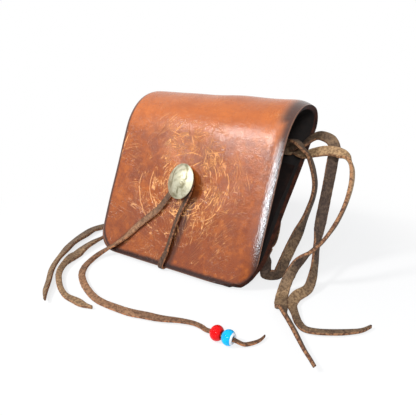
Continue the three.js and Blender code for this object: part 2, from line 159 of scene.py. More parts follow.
OUTER_TAIL_ROUTE = in_metres((
    (-579, 246, 763), (-604, 254, 774), (-640, 258, 780), (-690, 244, 750), (-734, 214, 670),
    (-760, 178, 550), (-776, 138, 410), (-796, 84, 260), (-822, 8, 120), (-854, -72, 36), (-884, -148, 13),
    (-896, -226, 13), (-869, -342, 13), (-806, -524, 13), (-742, -644, 13), (-672, -764, 13),
    (-592, -870, 13), (-476, -988, 13), (-390, -1078, 13), (-320, -1138, 13),
))
INNER_TAIL_ROUTE = in_metres((
    (-566, 215, 732), (-598, 206, 724), (-634, 194, 716), (-664, 164, 650), (-680, 122, 520),
    (-690, 68, 360), (-700, -2, 200), (-710, -98, 70), (-710, -198, 18), (-700, -301, 13), (-704, -395, 13),
    (-684, -509, 13), (-632, -670, 13), (-576, -792, 13), (-514, -876, 13), (-440, -940, 13),
    (-356, -996, 13), (-264, -1034, 13), (-186, -1038, 13), (-106, -1044, 13), (-53, -1036, 13),
))

# The way that the flat side of each cord faces, at a share of its length
LACE_FACES = [
    (0.0, -OUTWARD), (0.06, -OUTWARD), (0.075, (0, 0, -1)), (0.09, OUTWARD), (0.13, (-0.5, -0.8, 0.3)),
    (0.22, (-0.4, -0.8, 0.3)), (0.26, OUTWARD), (0.42, OUTWARD), (0.47, (-0.6, -0.5, 0.6)),
    (0.52, FLOOR_UP), (0.8, (0, -0.4, 0.9)), (1.0, FLOOR_UP),
]
BELT_LOOP_FACES = [(0.0, UPWARD), (0.2, (0, 0.7, 0.7)), (0.35, (0, 1, 0)), (0.55, (0, 0.5, -0.8)),
                   (0.7, (0, 0, -1)), (1.0, (0, -0.7, -0.7))]
SIDE_LOOP_FACES = [(0, (0, 0, 1)), (0.12, (0.5, 0.1, 0.8)), (0.22, (1.0, 0.1, 0.2)), (0.42, (1.0, 0.05, 0.1)),
                   (0.55, (0.7, -0.7, 0.1)), (0.75, (0.5, -0.8, -0.2)), (1.0, (0.3, 0.4, -0.7))]
LONG_TAIL_FACES = [(0.0, (0, 0, 1)), (0.08, (0.1, -0.7, 0.7)), (0.18, (0.5, -0.8, 0.1)),
                   (0.38, (0.3, -0.95, 0.1)), (0.45, (0.9, -0.3, 0.1)), (0.52, (0.9, -0.4, 0.2)),
                   (0.60, (0.3, -0.7, 0.6)), (0.70, (0.2, -0.6, 0.8)), (0.78, FLOOR_UP), (1.0, FLOOR_UP)]
SHORT_TAIL_FACES = [(0.0, (0, -0.4, 0.9)), (0.10, (0.1, -0.7, 0.7)), (0.17, (0.3, -0.6, 0.7)),
                    (0.22, (0.95, 0.15, 0.2)), (0.30, (0.95, 0.15, 0.1)), (0.50, (0.9, 0.25, -0.2)),
                    (0.57, (0.8, -0.5, 0.2)), (0.63, (0.2, -0.8, 0.4)), (0.72, (0.2, -0.7, 0.7)),
                    (0.78, (0.85, 0.0, 0.5)), (1.0, (0.8, 0.2, 0.6))]
OUTER_TAIL_FACES = [(0.0, (0, 0, 1)), (0.2, (-1, -0.3, 0.2)), (0.40, (-0.5, -0.7, 0.5)),
                    (0.55, (0.1, -0.7, 0.7)), (0.7, (-0.4, 0.1, 0.9)), (1.0, (-0.6, 0, 0.8))]
INNER_TAIL_FACES = [(0.0, (0, 0, 1)), (0.2, (-1, -0.3, 0.2)), (0.42, (-0.7, -0.6, 0.5)),
                    (0.55, (-0.2, -0.4, 0.9)), (0.7, (0.4, 0.3, 0.9)), (1.0, FLOOR_UP)]

# How wide and how pale each cord is, as shares of its own width and of the paler colour
LACE_WIDTHS = [(0.0, 0.72), (0.42, 0.84), (0.52, 0.86), (0.80, 0.84), (0.88, 0.5), (1.0, 0.45)]
LACE_PALENESS = [(0.0, 0.1), (0.2, 0.15), (0.32, 0.25), (0.45, 0.75), (0.52, 0.45), (0.65, 0.8), (0.85, 0.45),
                 (1.0, 0.4)]
SIDE_LOOP_WIDTHS = [(0.0, 1.0), (0.35, 0.95), (0.55, 1.15), (0.75, 1.1), (1.0, 1.0)]
SIDE_LOOP_PALENESS = [(0.0, 0.3), (0.2, 0.25), (0.45, 0.2), (0.6, 0.4), (0.75, 0.15), (1.0, 0.0)]
LONG_TAIL_WIDTHS = [(0.0, 0.9), (0.15, 1.05), (0.36, 1.05), (0.44, 0.85), (0.55, 0.85), (0.68, 1.0),
                    (0.76, 0.62), (1.0, 0.55)]
LONG_TAIL_PALENESS = [(0.0, 0.15), (0.12, 0.3), (0.22, 0.1), (0.45, 0.15), (0.55, 0.3), (0.66, 0.6),
                      (0.78, 0.35), (1.0, 0.3)]
SHORT_TAIL_WIDTHS = [(0.0, 1.0), (0.15, 1.1), (0.24, 1.0), (0.5, 0.95), (0.6, 1.0), (0.72, 1.1), (0.8, 0.75),
                     (1.0, 0.45)]
SHORT_TAIL_PALENESS = [(0, 0.5), (0.08, 1.1), (0.28, 1), (0.36, 0.3), (0.55, 0.2), (0.66, 0.5), (0.8, 0.25),
                       (1.0, 0.2)]
OUTER_TAIL_WIDTHS = [(0.0, 1.0), (0.35, 1.2), (0.55, 1.3), (0.66, 1.0), (0.76, 0.62), (1.0, 0.5)]
OUTER_TAIL_PALENESS = [(0.0, 0.2), (0.35, 0.25), (0.6, 0.35), (0.8, 0.5), (1.0, 0.4)]
INNER_TAIL_WIDTHS = [(0, 1), (0.35, 1.1), (0.5, 1.15), (0.62, 1.1), (0.72, 0.6), (0.88, 0.5), (0.95, 0.75),
                     (1.0, 0.6)]
INNER_TAIL_PALENESS = [(0.0, 0.2), (0.35, 0.2), (0.6, 0.45), (0.8, 0.65), (1.0, 0.6)]


# Settings in the sidebar
def length_setting(name, description, default, least=0.001):
    return bpy.props.FloatProperty(
        name=name, description=description, default=default, min=least, unit="LENGTH",
    )


def colour_setting(name, description, default):
    return bpy.props.FloatVectorProperty(
        name=name, description=description, subtype="COLOR_GAMMA", default=default, min=0, max=1,
    )


class PouchLeather(bpy.types.PropertyGroup):
    """Sizes of the leather pieces"""

    edge_round: length_setting("Edge rounding", "Radius of the burnished edge of the strip", 0.0009, 0.0001)
    slack: length_setting("Slack", "How far the thick leather strays from a true surface", 0.0005, 0)
    stitch_pitch: length_setting("Stitch pitch", "Distance from one stitch of the seam to the next", 0.0044)
    seam_margin: length_setting("Seam margin", "Distance of the seam from the edge of the back panel", 0.0052)


class PouchThongs(bpy.types.PropertyGroup):
    """Sizes of the lace and the thongs"""

    lace_width: length_setting("Lace width", "Width of the closure lace", 0.005)
    lace_thickness: length_setting("Lace thickness", "Thickness of the closure lace", 0.0018, 0.0005)
    thong_width: length_setting("Thong width", "Width of the thongs that tie the pouch to a belt", 0.0066)
    thong_thickness: length_setting("Thong thickness", "Thickness of the thongs", 0.0024, 0.0005)


class PouchColours(bpy.types.PropertyGroup):
    """Colours of the finishes"""

    chestnut: colour_setting("Chestnut", "Main colour of the polished leather", (0.56, 0.275, 0.10))
    ochre: colour_setting("Ochre", "Colour where the polished leather is rubbed paler", (0.68, 0.365, 0.13))
    oxblood: colour_setting("Oxblood", "Colour of the darker patches", (0.43, 0.19, 0.085))
    burnish_and_shade: colour_setting("Burnish", "Colour of the burnished band along the edges", (0.15, 0.06, 0.045))
    body: colour_setting("Body", "Colour of the body's dark leather", (0.07, 0.045, 0.04))
    thong_grain: colour_setting("Greasy thong", "Colour of greasy parts of the thongs", (0.28, 0.215, 0.175))
    thong_flesh: colour_setting("Dry thong", "Colour of dry parts of the thongs", (0.70, 0.57, 0.42))
    button: colour_setting("Button", "Colour of the worn metal button", (0.73, 0.715, 0.62))


# Places and colours
def at(x, depth, height):
    """The point of the row frame at a place given in the pouch's own frame."""
    return Vector((
        x,
        depth * BEHIND.y + height * UPWARD.y - ORIGIN_DEPTH,
        depth * BEHIND.z + height * UPWARD.z + LIFT,
    ))


def linear(colour):
    """A display colour as the linear colour with alpha that a shader socket takes."""
    parts = [part / 12.92 if part <= 0.04045 else ((part + 0.055) / 1.055) ** 2.4 for part in colour]
    return (*parts, 1.0)


def smooth(value, low, high):
    """0 below low, 1 above high and an easy turn between them."""
    share = min(max((value - low) / (high - low), 0.0), 1.0)
    return share * share * (3 - 2 * share)


# Meshes
def link_mesh(name, bm):
    """Turns a bmesh into an object of the scene."""
    mesh = bpy.data.meshes.new(name)
    bm.to_mesh(mesh)
    bm.free()
    made = bpy.data.objects.new(name, mesh)
    bpy.context.scene.collection.objects.link(made)
    return made


def new_piece(name, bm, body, materials, slot, replaces=()):
    """Makes a piece from a bmesh, gives it its finishes and lets it ride on a body of the frame."""
    piece = link_mesh(name, bm)
    for material in materials:
        piece.data.materials.append(material)
    for polygon in piece.data.polygons:
        polygon.use_smooth = True
    if body:
        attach(piece, body)
    if replaces:
        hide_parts(*replaces)
    return piece


def grid_cells(bm, across, along):
    """Adds a grid to a bmesh and gives the column and the row of each vertex."""
    bmesh.ops.create_grid(bm, x_segments=across, y_segments=along, size=1)
    return {
        vertex: (round((vertex.co.x + 1) / 2 * across), round((vertex.co.y + 1) / 2 * along))
        for vertex in bm.verts
    }


def grid_between(bm, columns, rows, place):
    """A grid of columns by rows values. place(column, row) gives a vertex's point and place on the map."""
    cells = grid_cells(bm, len(columns) - 1, len(rows) - 1)
    where = {vertex: (columns[column], rows[row]) for vertex, (column, row) in cells.items()}
    uv = bm.loops.layers.uv.new("UVMap")
    for face in bm.faces:
        for loop in face.loops:
            loop[uv].uv = place(*where[loop.vert])[1].xy * MAP_SCALE
    for vertex, (column, row) in where.items():
        vertex.co = place(column, row)[0]
    return uv


def spread(count, crowd=0.45):
    """Values from -1 to 1, closer together towards both ends."""
    shares = [2 * index / (count - 1) - 1 for index in range(count)]
    return [(1 - crowd) * share + crowd * math.sin(share * math.pi / 2) for share in shares]


def trim_at_floor(bm):
    """Cuts off what lies under the floor and closes the cut."""
    geometry = list(bm.verts) + list(bm.edges) + list(bm.faces)
    cut = bmesh.ops.bisect_plane(bm, geom=geometry, plane_co=(0, 0, 0), plane_no=(0, 0, -1), clear_outer=True)
    edges = [item for item in cut["geom_cut"] if isinstance(item, bmesh.types.BMEdge)]
    if edges:
        bmesh.ops.holes_fill(bm, edges=edges, sides=0)


# Shader parts
class Field:
    """A value, vector or colour in a shader. Arithmetic on it adds the nodes that work it out."""

    def __init__(self, tree, socket):
        self.tree = tree
        self.socket = socket

    def into(self, socket):
        self.tree.links.new(self.socket, socket)

    def maths(self, operation, other=0.0):
        return wire(self.tree, "ShaderNodeMath", {0: self, 1: other}, operation=operation)[0]

    def __add__(self, other):
        return self.maths("ADD", other)

    def __sub__(self, other):
        return self.maths("SUBTRACT", other)

    def __mul__(self, other):
        return self.maths("MULTIPLY", other)

    def __abs__(self):
        return self.maths("ABSOLUTE")

    def most(self, other):
        return self.maths("MAXIMUM", other)

    def step(self, low, high, out_low=0.0, out_high=1.0):
        """Turns smoothly from out_low, where this value is at low, to out_high, where it is at high."""
        inputs = {0: self, 1: low, 2: high, 3: out_low, 4: out_high}
        return wire(self.tree, "ShaderNodeMapRange", inputs, interpolation_type="SMOOTHSTEP")[0]

    def mix(self, first, second):
        """The first colour, turned into the second one as far as this value says."""
        return wire(self.tree, "ShaderNodeMix", {0: self, 6: first, 7: second}, data_type="RGBA")[2]

    def tint(self, colour):
        """This colour multiplied by another."""
        inputs = {0: 1.0, 6: self, 7: (*colour, 1)}
        return wire(self.tree, "ShaderNodeMix", inputs, data_type="RGBA", blend_type="MULTIPLY")[2]

    def vector(self, operation, *others, output=0):
        inputs = dict(enumerate((self, *others)))
        return wire(self.tree, "ShaderNodeVectorMath", inputs, operation=operation)[output]

    def turned(self, angle, invert=False):
        inputs = {"Vector": self, "Angle": angle}
        return wire(self.tree, "ShaderNodeVectorRotate", inputs, rotation_type="Z_AXIS", invert=invert)[0]

    def split(self):
        return wire(self.tree, "ShaderNodeSeparateXYZ", {0: self})

    def noise(self, scale, detail, roughness=0.5, **more):
        inputs = {"Vector": self, "Scale": scale, "Detail": detail, "Roughness": roughness, **more}
        return wire(self.tree, "ShaderNodeTexNoise", inputs)[0]


class Outputs:
    """What comes out of a node, by name or number."""

    def __init__(self, tree, node):
        self.tree = tree
        self.node = node

    def __getitem__(self, key):
        return Field(self.tree, self.node.outputs[key])


def fill(node, inputs):
    """Sets or links a node's inputs by name or number."""
    for key, value in inputs.items():
        if isinstance(value, Field):
            value.into(node.inputs[key])
        else:
            node.inputs[key].default_value = value


def wire(tree, kind, inputs=None, **settings):
    """Adds a shader node with its own settings and its inputs, and gives its outputs."""
    node = tree.nodes.new(kind)
    for name, value in settings.items():
        setattr(node, name, value)
    fill(node, inputs or {})
    return Outputs(tree, node)


def new_group(name, inputs, outputs):
    """A shader node group with inputs by name and value, and named outputs. Gives its entry and its exit."""
    group = bpy.data.node_groups.new(name, "ShaderNodeTree")
    for socket_name, value in inputs.items():
        kind = "NodeSocketVector" if isinstance(value, tuple) else "NodeSocketFloat"
        group.interface.new_socket(socket_name, in_out="INPUT", socket_type=kind).default_value = value
    for socket_name in outputs:
        group.interface.new_socket(socket_name, in_out="OUTPUT", socket_type="NodeSocketFloat")
    return Outputs(group, group.nodes.new("NodeGroupInput")), group.nodes.new("NodeGroupOutput").inputs


def use_group(tree, name, **inputs):
    """Adds a node group with its inputs, and gives its outputs."""
    node = tree.nodes.new("ShaderNodeGroup")
    node.node_tree = bpy.data.node_groups[name]
    fill(node, {key.replace("_", " "): value for key, value in inputs.items()})
    return Outputs(tree, node)


def leather_grain_group():
    """Fine pores and creases, and a coarse unevenness, as heights."""
    entry, leave = new_group("Leather grain", {"Vector": (0, 0, 0), "Scale": 900.0}, ("Pores", "Uneven"))
    place, scale = entry["Vector"], entry["Scale"]
    inputs = {"Vector": place, "Scale": scale, "Randomness": 0.9}
    wire(place.tree, "ShaderNodeTexVoronoi", inputs, feature="SMOOTH_F1")[0].into(leave[0])
    place.noise(scale * 0.1, 5.0, 0.6).into(leave[1])


def streak_group():
    """Fine straight scratches along one direction of a flat map, broken into patches."""
    entry, leave = new_group("Scratch streaks", {
        "Vector": (0, 0, 0), "Turn": 0.0, "Fineness": 60.0, "Stretch": 0.06, "Width": 0.012, "Patches": 3.0,
    }, ("Mask",))
    turned = entry["Vector"].turned(entry["Turn"])
    stretch = wire(turned.tree, "ShaderNodeCombineXYZ", {0: entry["Stretch"], 1: 1.0, 2: 1.0})[0]
    lines = turned.vector("MULTIPLY", stretch).noise(entry["Fineness"], 1.0, Distortion=0.15)
    thin = abs(lines - 0.5).step(0.0, entry["Width"], 1.0, 0.0)
    (thin * turned.noise(entry["Patches"], 2.0).step(0.52, 0.66)).into(leave[0])


def arc_scratch_group():
    """One curved scratch: an arc of a circle on a flat map, broken along its length and faded at its ends."""
    entry, leave = new_group("Arc scratch", {
        "Vector": (0, 0, 0), "Centre": (0, 0, 0), "Radius": 0.2, "Middle": 0.0, "Reach": 0.6, "Width": 0.005,
    }, ("Mask",))
    place, reach = entry["Vector"], entry["Reach"]
    parts = place.vector("SUBTRACT", entry["Centre"]).turned(entry["Middle"], invert=True).split()
    wander = (place.noise(9.0, 2.0) - 0.5) * 0.035
    squares = parts[0].maths("POWER", 2.0) + abs(parts[1]).maths("POWER", 2.0)
    miss = abs(squares.maths("SQRT") + wander - entry["Radius"])
    line = miss.step(0.0, entry["Width"], 1.0, 0.0)
    window = abs(parts[1].maths("ARCTAN2", parts[0])).step(reach * 0.55, reach, 1.0, 0.0)
    (line * window * place.noise(28.0, 1.0).step(0.36, 0.52)).into(leave[0])


def swirl_group():
    """Fine broken scratches that run round a centre, as a button and its lace wear them into a flap."""
    entry, leave = new_group("Swirl scratches", {
        "Vector": (0, 0, 0), "Centre": (0, 0, 0), "Fineness": 22.0, "Shift": 0.0, "Width": 0.02,
        "Reach": 0.45,
    }, ("Mask",))
    flat, reach = entry["Vector"].vector("SUBTRACT", entry["Centre"]), entry["Reach"]
    away = flat.vector("LENGTH", output="Value")
    parts = flat.vector("NORMALIZE").split()
    wandering = away + (flat.noise(5.0, 2.0) - 0.5) * 0.16
    rolled = wire(flat.tree, "ShaderNodeCombineXYZ", {
        0: parts[0] * 1.5, 1: parts[1] * 1.5, 2: wandering * entry["Fineness"] + entry["Shift"],
    })[0]
    thin = abs(rolled.noise(1.0, 1.5, 0.6) - 0.5).step(0.0, entry["Width"], 1.0, 0.0)
    broken = flat.vector("ADD", (7.0, 3.0, 1.0)).noise(9.0, 2.0).step(0.44, 0.54)
    ring = away.step(0.10, 0.16) * away.step(reach * 0.6, reach, 1.0, 0.0)
    (thin * broken * ring).into(leave[0])


def edge_distance_group():
    """Distances from a strip's outline with its round corners, from its right side and from its nearer end.

    The map is of (x, distance up from the end).
    """
    entry, leave = new_group("Edge distance", {
        "Vector": (0, 0, 0), "Half width": 0.61, "Corner": 0.19, "Length": 2.0,
    }, ("Outline", "Right", "End"))
    parts = entry["Vector"].split()
    half, corner = entry["Half width"], entry["Corner"]
    from_end = parts[1].maths("MINIMUM", entry["Length"] - parts[1])
    side, end = abs(parts[0]) - (half - corner), corner - from_end
    side_out, end_out = side.most(0.0), end.most(0.0)
    round_corner = (side_out * side_out + end_out * end_out).maths("SQRT")
    (corner - (round_corner + side.most(end).maths("MINIMUM", 0.0))).into(leave[0])
    (half - parts[0]).into(leave[1])
    from_end.into(leave[2])


def most_of(masks):
    """The strongest of some masks, point by point."""
    strongest = masks[0]
    for mask in masks[1:]:
        strongest = strongest.most(mask)
    return strongest


def new_material(name):
    """A material with its tree and the inputs of its Principled shader."""
    material = bpy.data.materials.new(name)
    material.use_nodes = True
    tree = material.node_tree
    return material, tree, tree.nodes["Principled BSDF"].inputs


def bump(shader, height, strength, distance, under=None):
    """Gives a shader relief, on top of another relief where there is one."""
    inputs = {"Height": height, "Strength": strength, "Distance": distance}
    if under:
        inputs["Normal"] = under
    normal = wire(height.tree, "ShaderNodeBump", inputs)[0]
    normal.into(shader["Normal"])
    return normal


def uv_of(tree):
    return wire(tree, "ShaderNodeUVMap", uv_map="UVMap")[0]


def object_of(tree):
    return wire(tree, "ShaderNodeTexCoord")["Object"]


def attribute_of(tree, name):
    return wire(tree, "ShaderNodeAttribute", attribute_name=name)["Fac"]


# Places and scratches on the strip's map, whose unit is 100 mm
BUTTON_ON_MAP = (0.0, 0.562, 0)
# Middle of the painted shade and stain just below the button
SHADE_AND_STAIN_ON_MAP = (0.0, 0.40, 0)

# Swirls round the button: fineness, shift, width and reach
SWIRLS = [(22.0, 0.0, 0.014, 0.46), (33.0, 4.7, 0.016, 0.38), (27.0, 9.1, 0.012, 0.50),
          (37.0, 2.2, 0.014, 0.36)]

# Single curved scratches: centre, radius, middle direction, reach and width
FLAP_ARCS = [
    ((0.02, 0.56), 0.17, -0.3, 1.3, 0.0055), ((0.03, 0.55), 0.205, 0.1, 1.0, 0.0045),
    ((0.05, 0.56), 0.26, -0.4, 0.7, 0.005), ((0.02, 0.53), 0.30, 0.25, 0.5, 0.0045),
    ((-0.05, 0.54), 0.23, 3.3, 0.7, 0.0045), ((-0.04, 0.55), 0.33, 3.5, 0.5, 0.004),
    ((0.0, 0.55), 0.21, 1.7, 0.6, 0.005), ((0.0, 0.57), 0.22, -1.4, 0.7, 0.0045),
    ((0.02, 0.62), 0.62, 2.95, 0.17, 0.0065), ((-0.10, 0.95), 0.30, -1.2, 0.35, 0.005),
]

# Straight scratches in patches: direction, fineness and size of the patches
STREAKS = [(0.3, 38.0, 3.2), (1.1, 44.0, 3.8), (-0.7, 40.0, 3.5), (2.2, 50.0, 4.1), (1.6, 46.0, 3.0),
           (-0.2, 52.0, 4.4)]


def flap_scratches(tree, place):
    """The mask of all scratches, most of them near the button."""
    swirls = [
        use_group(tree, "Swirl scratches", Vector=place, Centre=BUTTON_ON_MAP, Fineness=fineness, Shift=shift,
                  Width=width, Reach=reach)[0]
        for fineness, shift, width, reach in SWIRLS
    ]
    arcs = [
        use_group(tree, "Arc scratch", Vector=place, Centre=(*centre, 0), Radius=radius, Middle=middle,
                  Reach=reach, Width=width)[0]
        for centre, radius, middle, reach, width in FLAP_ARCS
    ]
    streaks = [
        use_group(tree, "Scratch streaks", Vector=place, Turn=turn, Fineness=fineness, Patches=patches)[0]
        for turn, fineness, patches in STREAKS
    ]
    near = place.vector("DISTANCE", BUTTON_ON_MAP, output="Value").step(0.62, 0.25, 0.25, 1.0)
    return most_of(swirls + arcs).most(most_of(streaks) * near)


def hide_finish(colours):
    """Polished chestnut leather: mottled, scratched, with a burnished band along its edges, painted light
    over the fold and painted shade towards its ends, under the lace and below the button.
    """
    material, tree, shader = new_material("Polished hide")
    place, solid = uv_of(tree), object_of(tree)
    parts = place.split()
    across, along = parts[0], parts[1]
    chestnut, ochre = linear(colours.chestnut), linear(colours.ochre)
    oxblood, burnish_and_shade = linear(colours.oxblood), linear(colours.burnish_and_shade)
    edge = use_group(tree, "Edge distance", Vector=place, Half_width=MAP_SCALE * HALF_WIDTH, Corner=0.18,
                     Length=MAP_SCALE * STRIP_LENGTH)
    outline, right, end = edge["Outline"], edge["Right"], edge["End"]

    patch = solid.noise(48.0, 6.0, 0.65)
    freckle = solid.noise(170.0, 4.0, 0.6)
    colour = place.noise(2.6, 4.0, 0.6, Distortion=0.4).step(0.40, 0.68).mix(chestnut, ochre)
    colour = patch.step(0.46, 0.68, 0.0, 0.75).mix(colour, oxblood)
    # Painted shade: darker towards both ends of the strip, over the lower part of the flap
    colour = end.step(0.60, 0.25, 0.0, 0.5).mix(colour, oxblood)
    colour = solid.noise(420.0, 3.0, 0.7).step(0.45, 0.66, 0.0, 0.5).mix(colour, oxblood)
    colour = freckle.step(0.50, 0.64, 0.0, 0.45).mix(colour, oxblood)
    colour = freckle.step(0.46, 0.34, 0.0, 0.4).mix(colour, ochre)

    # Painted light over the fold: paler and more orange where the fold turns up to the light from above
    fold = along.step(0.82, 1.05) * along.step(1.5, 1.3) * 0.55
    colour = fold.mix(colour, linear((0.76, 0.41, 0.19)))

    # Painted shade under both strands of the lace and just below the button, together with the real wear that
    # the lace and the button leave there
    lean = (along - 0.25) * 0.19
    steep = abs(across - lean - 0.035).step(0.055, 0.02) * along.step(0.62, 0.45)
    aside = abs(place.vector("DOT_PRODUCT", (0.741, -0.672, 0), output="Value") + 0.36)
    slanted = aside.step(0.045, 0.012) * along.step(0.48, 0.40) * across.step(-0.02, -0.08)
    shade_and_stain = place.vector("DISTANCE", SHADE_AND_STAIN_ON_MAP, output="Value").step(0.13, 0.04, 0.0, 0.4)
    colour = (most_of([steep, slanted, shade_and_stain]) * 0.75).mix(colour, burnish_and_shade)

    scratched = flap_scratches(tree, place)
    colour = (scratched * 0.9).mix(colour, linear((0.93, 0.66, 0.40)))

    # Burnished band, wider down the right side and widest at the right end of the fold
    waver = (patch - 0.5) * 0.035
    near_right = right + waver
    band = most_of([
        (outline + waver).step(0.030, 0.010, 0.0, 0.9), near_right.step(0.06, 0.012, 0.0, 0.9),
        (end + waver).step(0.048, 0.022, 0.0, 0.97),
        near_right.step(0.11, 0.03) * along.step(0.98, 1.06) * 0.9,
    ])
    colour = outline.step(0.008, 0.003, 0.0, 0.4).mix(band.mix(colour, burnish_and_shade), linear((0.55, 0.36, 0.25)))
    colour.into(shader["Base Color"])

    # Glossier along the rolled right edge, less so towards its foot
    roughness = patch.step(0.3, 0.7, 0.23, 0.33) + scratched * 0.2 - right.step(0.11, 0.06, 0.0, 0.07)
    roughness.into(shader["Roughness"])
    polished = right.step(0.11, 0.06) * along.step(0.05, 0.45, -0.5, 1.0)
    polished.step(-0.5, 1.0, 0.3, 0.85).into(shader["Specular IOR Level"])
    grain = use_group(tree, "Leather grain", Vector=solid, Scale=1500.0)
    fine = bump(shader, grain["Pores"] * 0.4 - scratched * 0.8, 0.65, 0.0004)
    bump(shader, grain["Uneven"], 0.14, 0.0012, under=fine)
    return material


def mottled_finish(name, texture, turn, dark, pale, roughness, relief):
    """Plain matte leather: one noise mottles its colour and gives its relief."""
    material, tree, shader = new_material(name)
    mottle = object_of(tree).noise(*texture)
    mottle.step(*turn).mix(linear(dark), linear(pale)).into(shader["Base Color"])
    shader["Roughness"].default_value = roughness
    bump(shader, mottle, *relief)
    return material


def cut_edge_finish():
    """The burnished cut edge of thick leather, with the layers of the hide in it."""
    material, tree, shader = new_material("Cut edge")
    layers = object_of(tree).noise(180.0, 5.0, 0.7)
    colour = layers.step(0.35, 0.65).mix(linear((0.12, 0.055, 0.04)), linear((0.27, 0.14, 0.09)))
    colour.into(shader["Base Color"])
    layers.step(0.3, 0.7, 0.4, 0.6).into(shader["Roughness"])
    shader["Specular IOR Level"].default_value = 0.08
    bump(shader, layers, 0.3, 0.0005)
    return material


def body_finish(colours):
    """Dark worn leather of the front panel and the gussets."""
    material, tree, shader = new_material("Body leather")
    solid = object_of(tree)
    grain = use_group(tree, "Leather grain", Vector=solid, Scale=1100.0)
    wear = solid.noise(60.0, 5.0, 0.65)
    wear.step(0.45, 0.7).mix(linear(colours.body), linear((0.16, 0.105, 0.085))).into(shader["Base Color"])
    wear.step(0.3, 0.7, 0.5, 0.75).into(shader["Roughness"])
    shader["Specular IOR Level"].default_value = 0.08
    fine = bump(shader, grain["Pores"], 0.3, 0.0003)
    bump(shader, wear, 0.4, 0.001, under=fine)
    return material


def thong_finish(name, greasy_colour, dry_colour, rim_colour):
    """Thong leather, darker where it is greasy and paler where it is dry, with pale and reddish cut edges."""
    material, tree, shader = new_material(name)
    solid = object_of(tree)
    side, pale, rim = (attribute_of(tree, attribute) for attribute in ("side", "pale", "rim"))
    mottle = solid.noise(130.0, 5.0, 0.65)
    fibre = uv_of(tree).vector("MULTIPLY", (0.25, 2.0, 1.0)).noise(22.0, 6.0, 0.7)
    nap = solid.noise(640.0, 4.0, 0.7)
    dryness = pale + (mottle - 0.5) * 0.9
    colour = dryness.step(0.0, 1.0).mix(linear(greasy_colour), linear(dry_colour))
    colour = nap.step(0.42, 0.60, 0.0, 0.85).mix(colour, colour.tint((0.36, 0.31, 0.28)))
    colour = fibre.step(0.5, 0.72, 0.0, 0.7).mix(colour, colour.tint((1.5, 1.42, 1.3)))
    colour = (rim * nap.step(0.40, 0.58, 0.95, 0.15)).mix(colour, linear(rim_colour))
    colour = (rim * nap.step(0.48, 0.56, 0.0, 0.75)).mix(colour, linear((0.34, 0.20, 0.14)))
    colour.into(shader["Base Color"])
    side.step(0.0, 1.0, 0.92, 0.7).into(shader["Roughness"])
    shader["Specular IOR Level"].default_value = 0.3
    fine = bump(shader, fibre + nap * 0.6, 0.6, 0.0006)
    bump(shader, mottle, 0.4, 0.0009, under=fine)
    return material


def button_finish(colours):
    """Worn pale metal, darkened by its patina_and_shade attribute: dark metal left in the low places of the
    relief, and painted shade towards the lower left.
    """
    material, tree, shader = new_material("Worn button metal")
    solid = object_of(tree)
    wear = solid.noise(500.0, 5.0, 0.6)
    dull = attribute_of(tree, "patina_and_shade") + (wear - 0.5) * 0.7
    colour = dull.step(0.05, 1.0).mix(linear(colours.button), linear((0.49, 0.475, 0.37)))
    tarnish = solid.noise(170.0, 5.0, 0.7).step(0.48, 0.66, 0.0, 0.75)
    tarnish.mix(colour, linear((0.50, 0.47, 0.36))).into(shader["Base Color"])
    shader["Metallic"].default_value = 0.7
    wear.step(0.3, 0.7, 0.42, 0.6).into(shader["Roughness"])
    bump(shader, wear, 0.5, 0.0004)
    return material


def bead_finish(name, colour):
    """Glossy opaque glass."""
    material, tree, shader = new_material(name)
    darker = linear(tuple(part * 0.86 for part in colour))
    cloud = object_of(tree).noise(220.0, 3.0).step(0.4, 0.7)
    cloud.mix(linear(colour), darker).into(shader["Base Color"])
    shader["Roughness"].default_value = 0.08
    shader["Specular IOR Level"].default_value = 0.22
    return material


def thread_finish():
    """Waxed thread of the body seam."""
    material, tree, shader = new_material("Waxed thread")
    twist = object_of(tree).noise(900.0, 2.0)
    twist.mix(linear((0.16, 0.11, 0.08)), linear((0.34, 0.25, 0.18))).into(shader["Base Color"])
    shader["Roughness"].default_value = 0.6
    bump(shader, twist, 0.5, 0.0002)
    return material


def make_finishes(colours):
    """Makes the shared node groups, then every finish by its short name."""
    leather_grain_group()
    streak_group()
    arc_scratch_group()
    edge_distance_group()
    swirl_group()
    return {
        "hide": hide_finish(colours),
        "flesh": mottled_finish("Flesh side", (260.0, 6.0, 0.75), (0.35, 0.7), (0.07, 0.045, 0.035),
                                (0.13, 0.085, 0.06), 0.9, (0.6, 0.0006)),
        "cut": cut_edge_finish(),
        "body": body_finish(colours),
        "body cut": mottled_finish("Body cut edge", (240.0, 4.0, 0.7), (0.35, 0.7), (0.30, 0.15, 0.10),
                                   (0.55, 0.28, 0.18), 0.6, (0.4, 0.0004)),
        "lace": thong_finish("Lace leather", (0.32, 0.235, 0.18), (0.62, 0.46, 0.335), (0.68, 0.44, 0.28)),
        "thong": thong_finish("Thong leather", colours.thong_grain, colours.thong_flesh, (0.60, 0.42, 0.285)),
        "button": button_finish(colours),
        "red": bead_finish("Red glass", (0.86, 0.0, 0.02)),
        "blue": bead_finish("Blue glass", (0.0, 0.68, 0.90)),
        # The white finish is a painted highlight on the right end of the blue bead
        "white": bead_finish("Painted highlight glass", (0.88, 0.90, 0.92)),
        "thread": thread_finish(),
    }


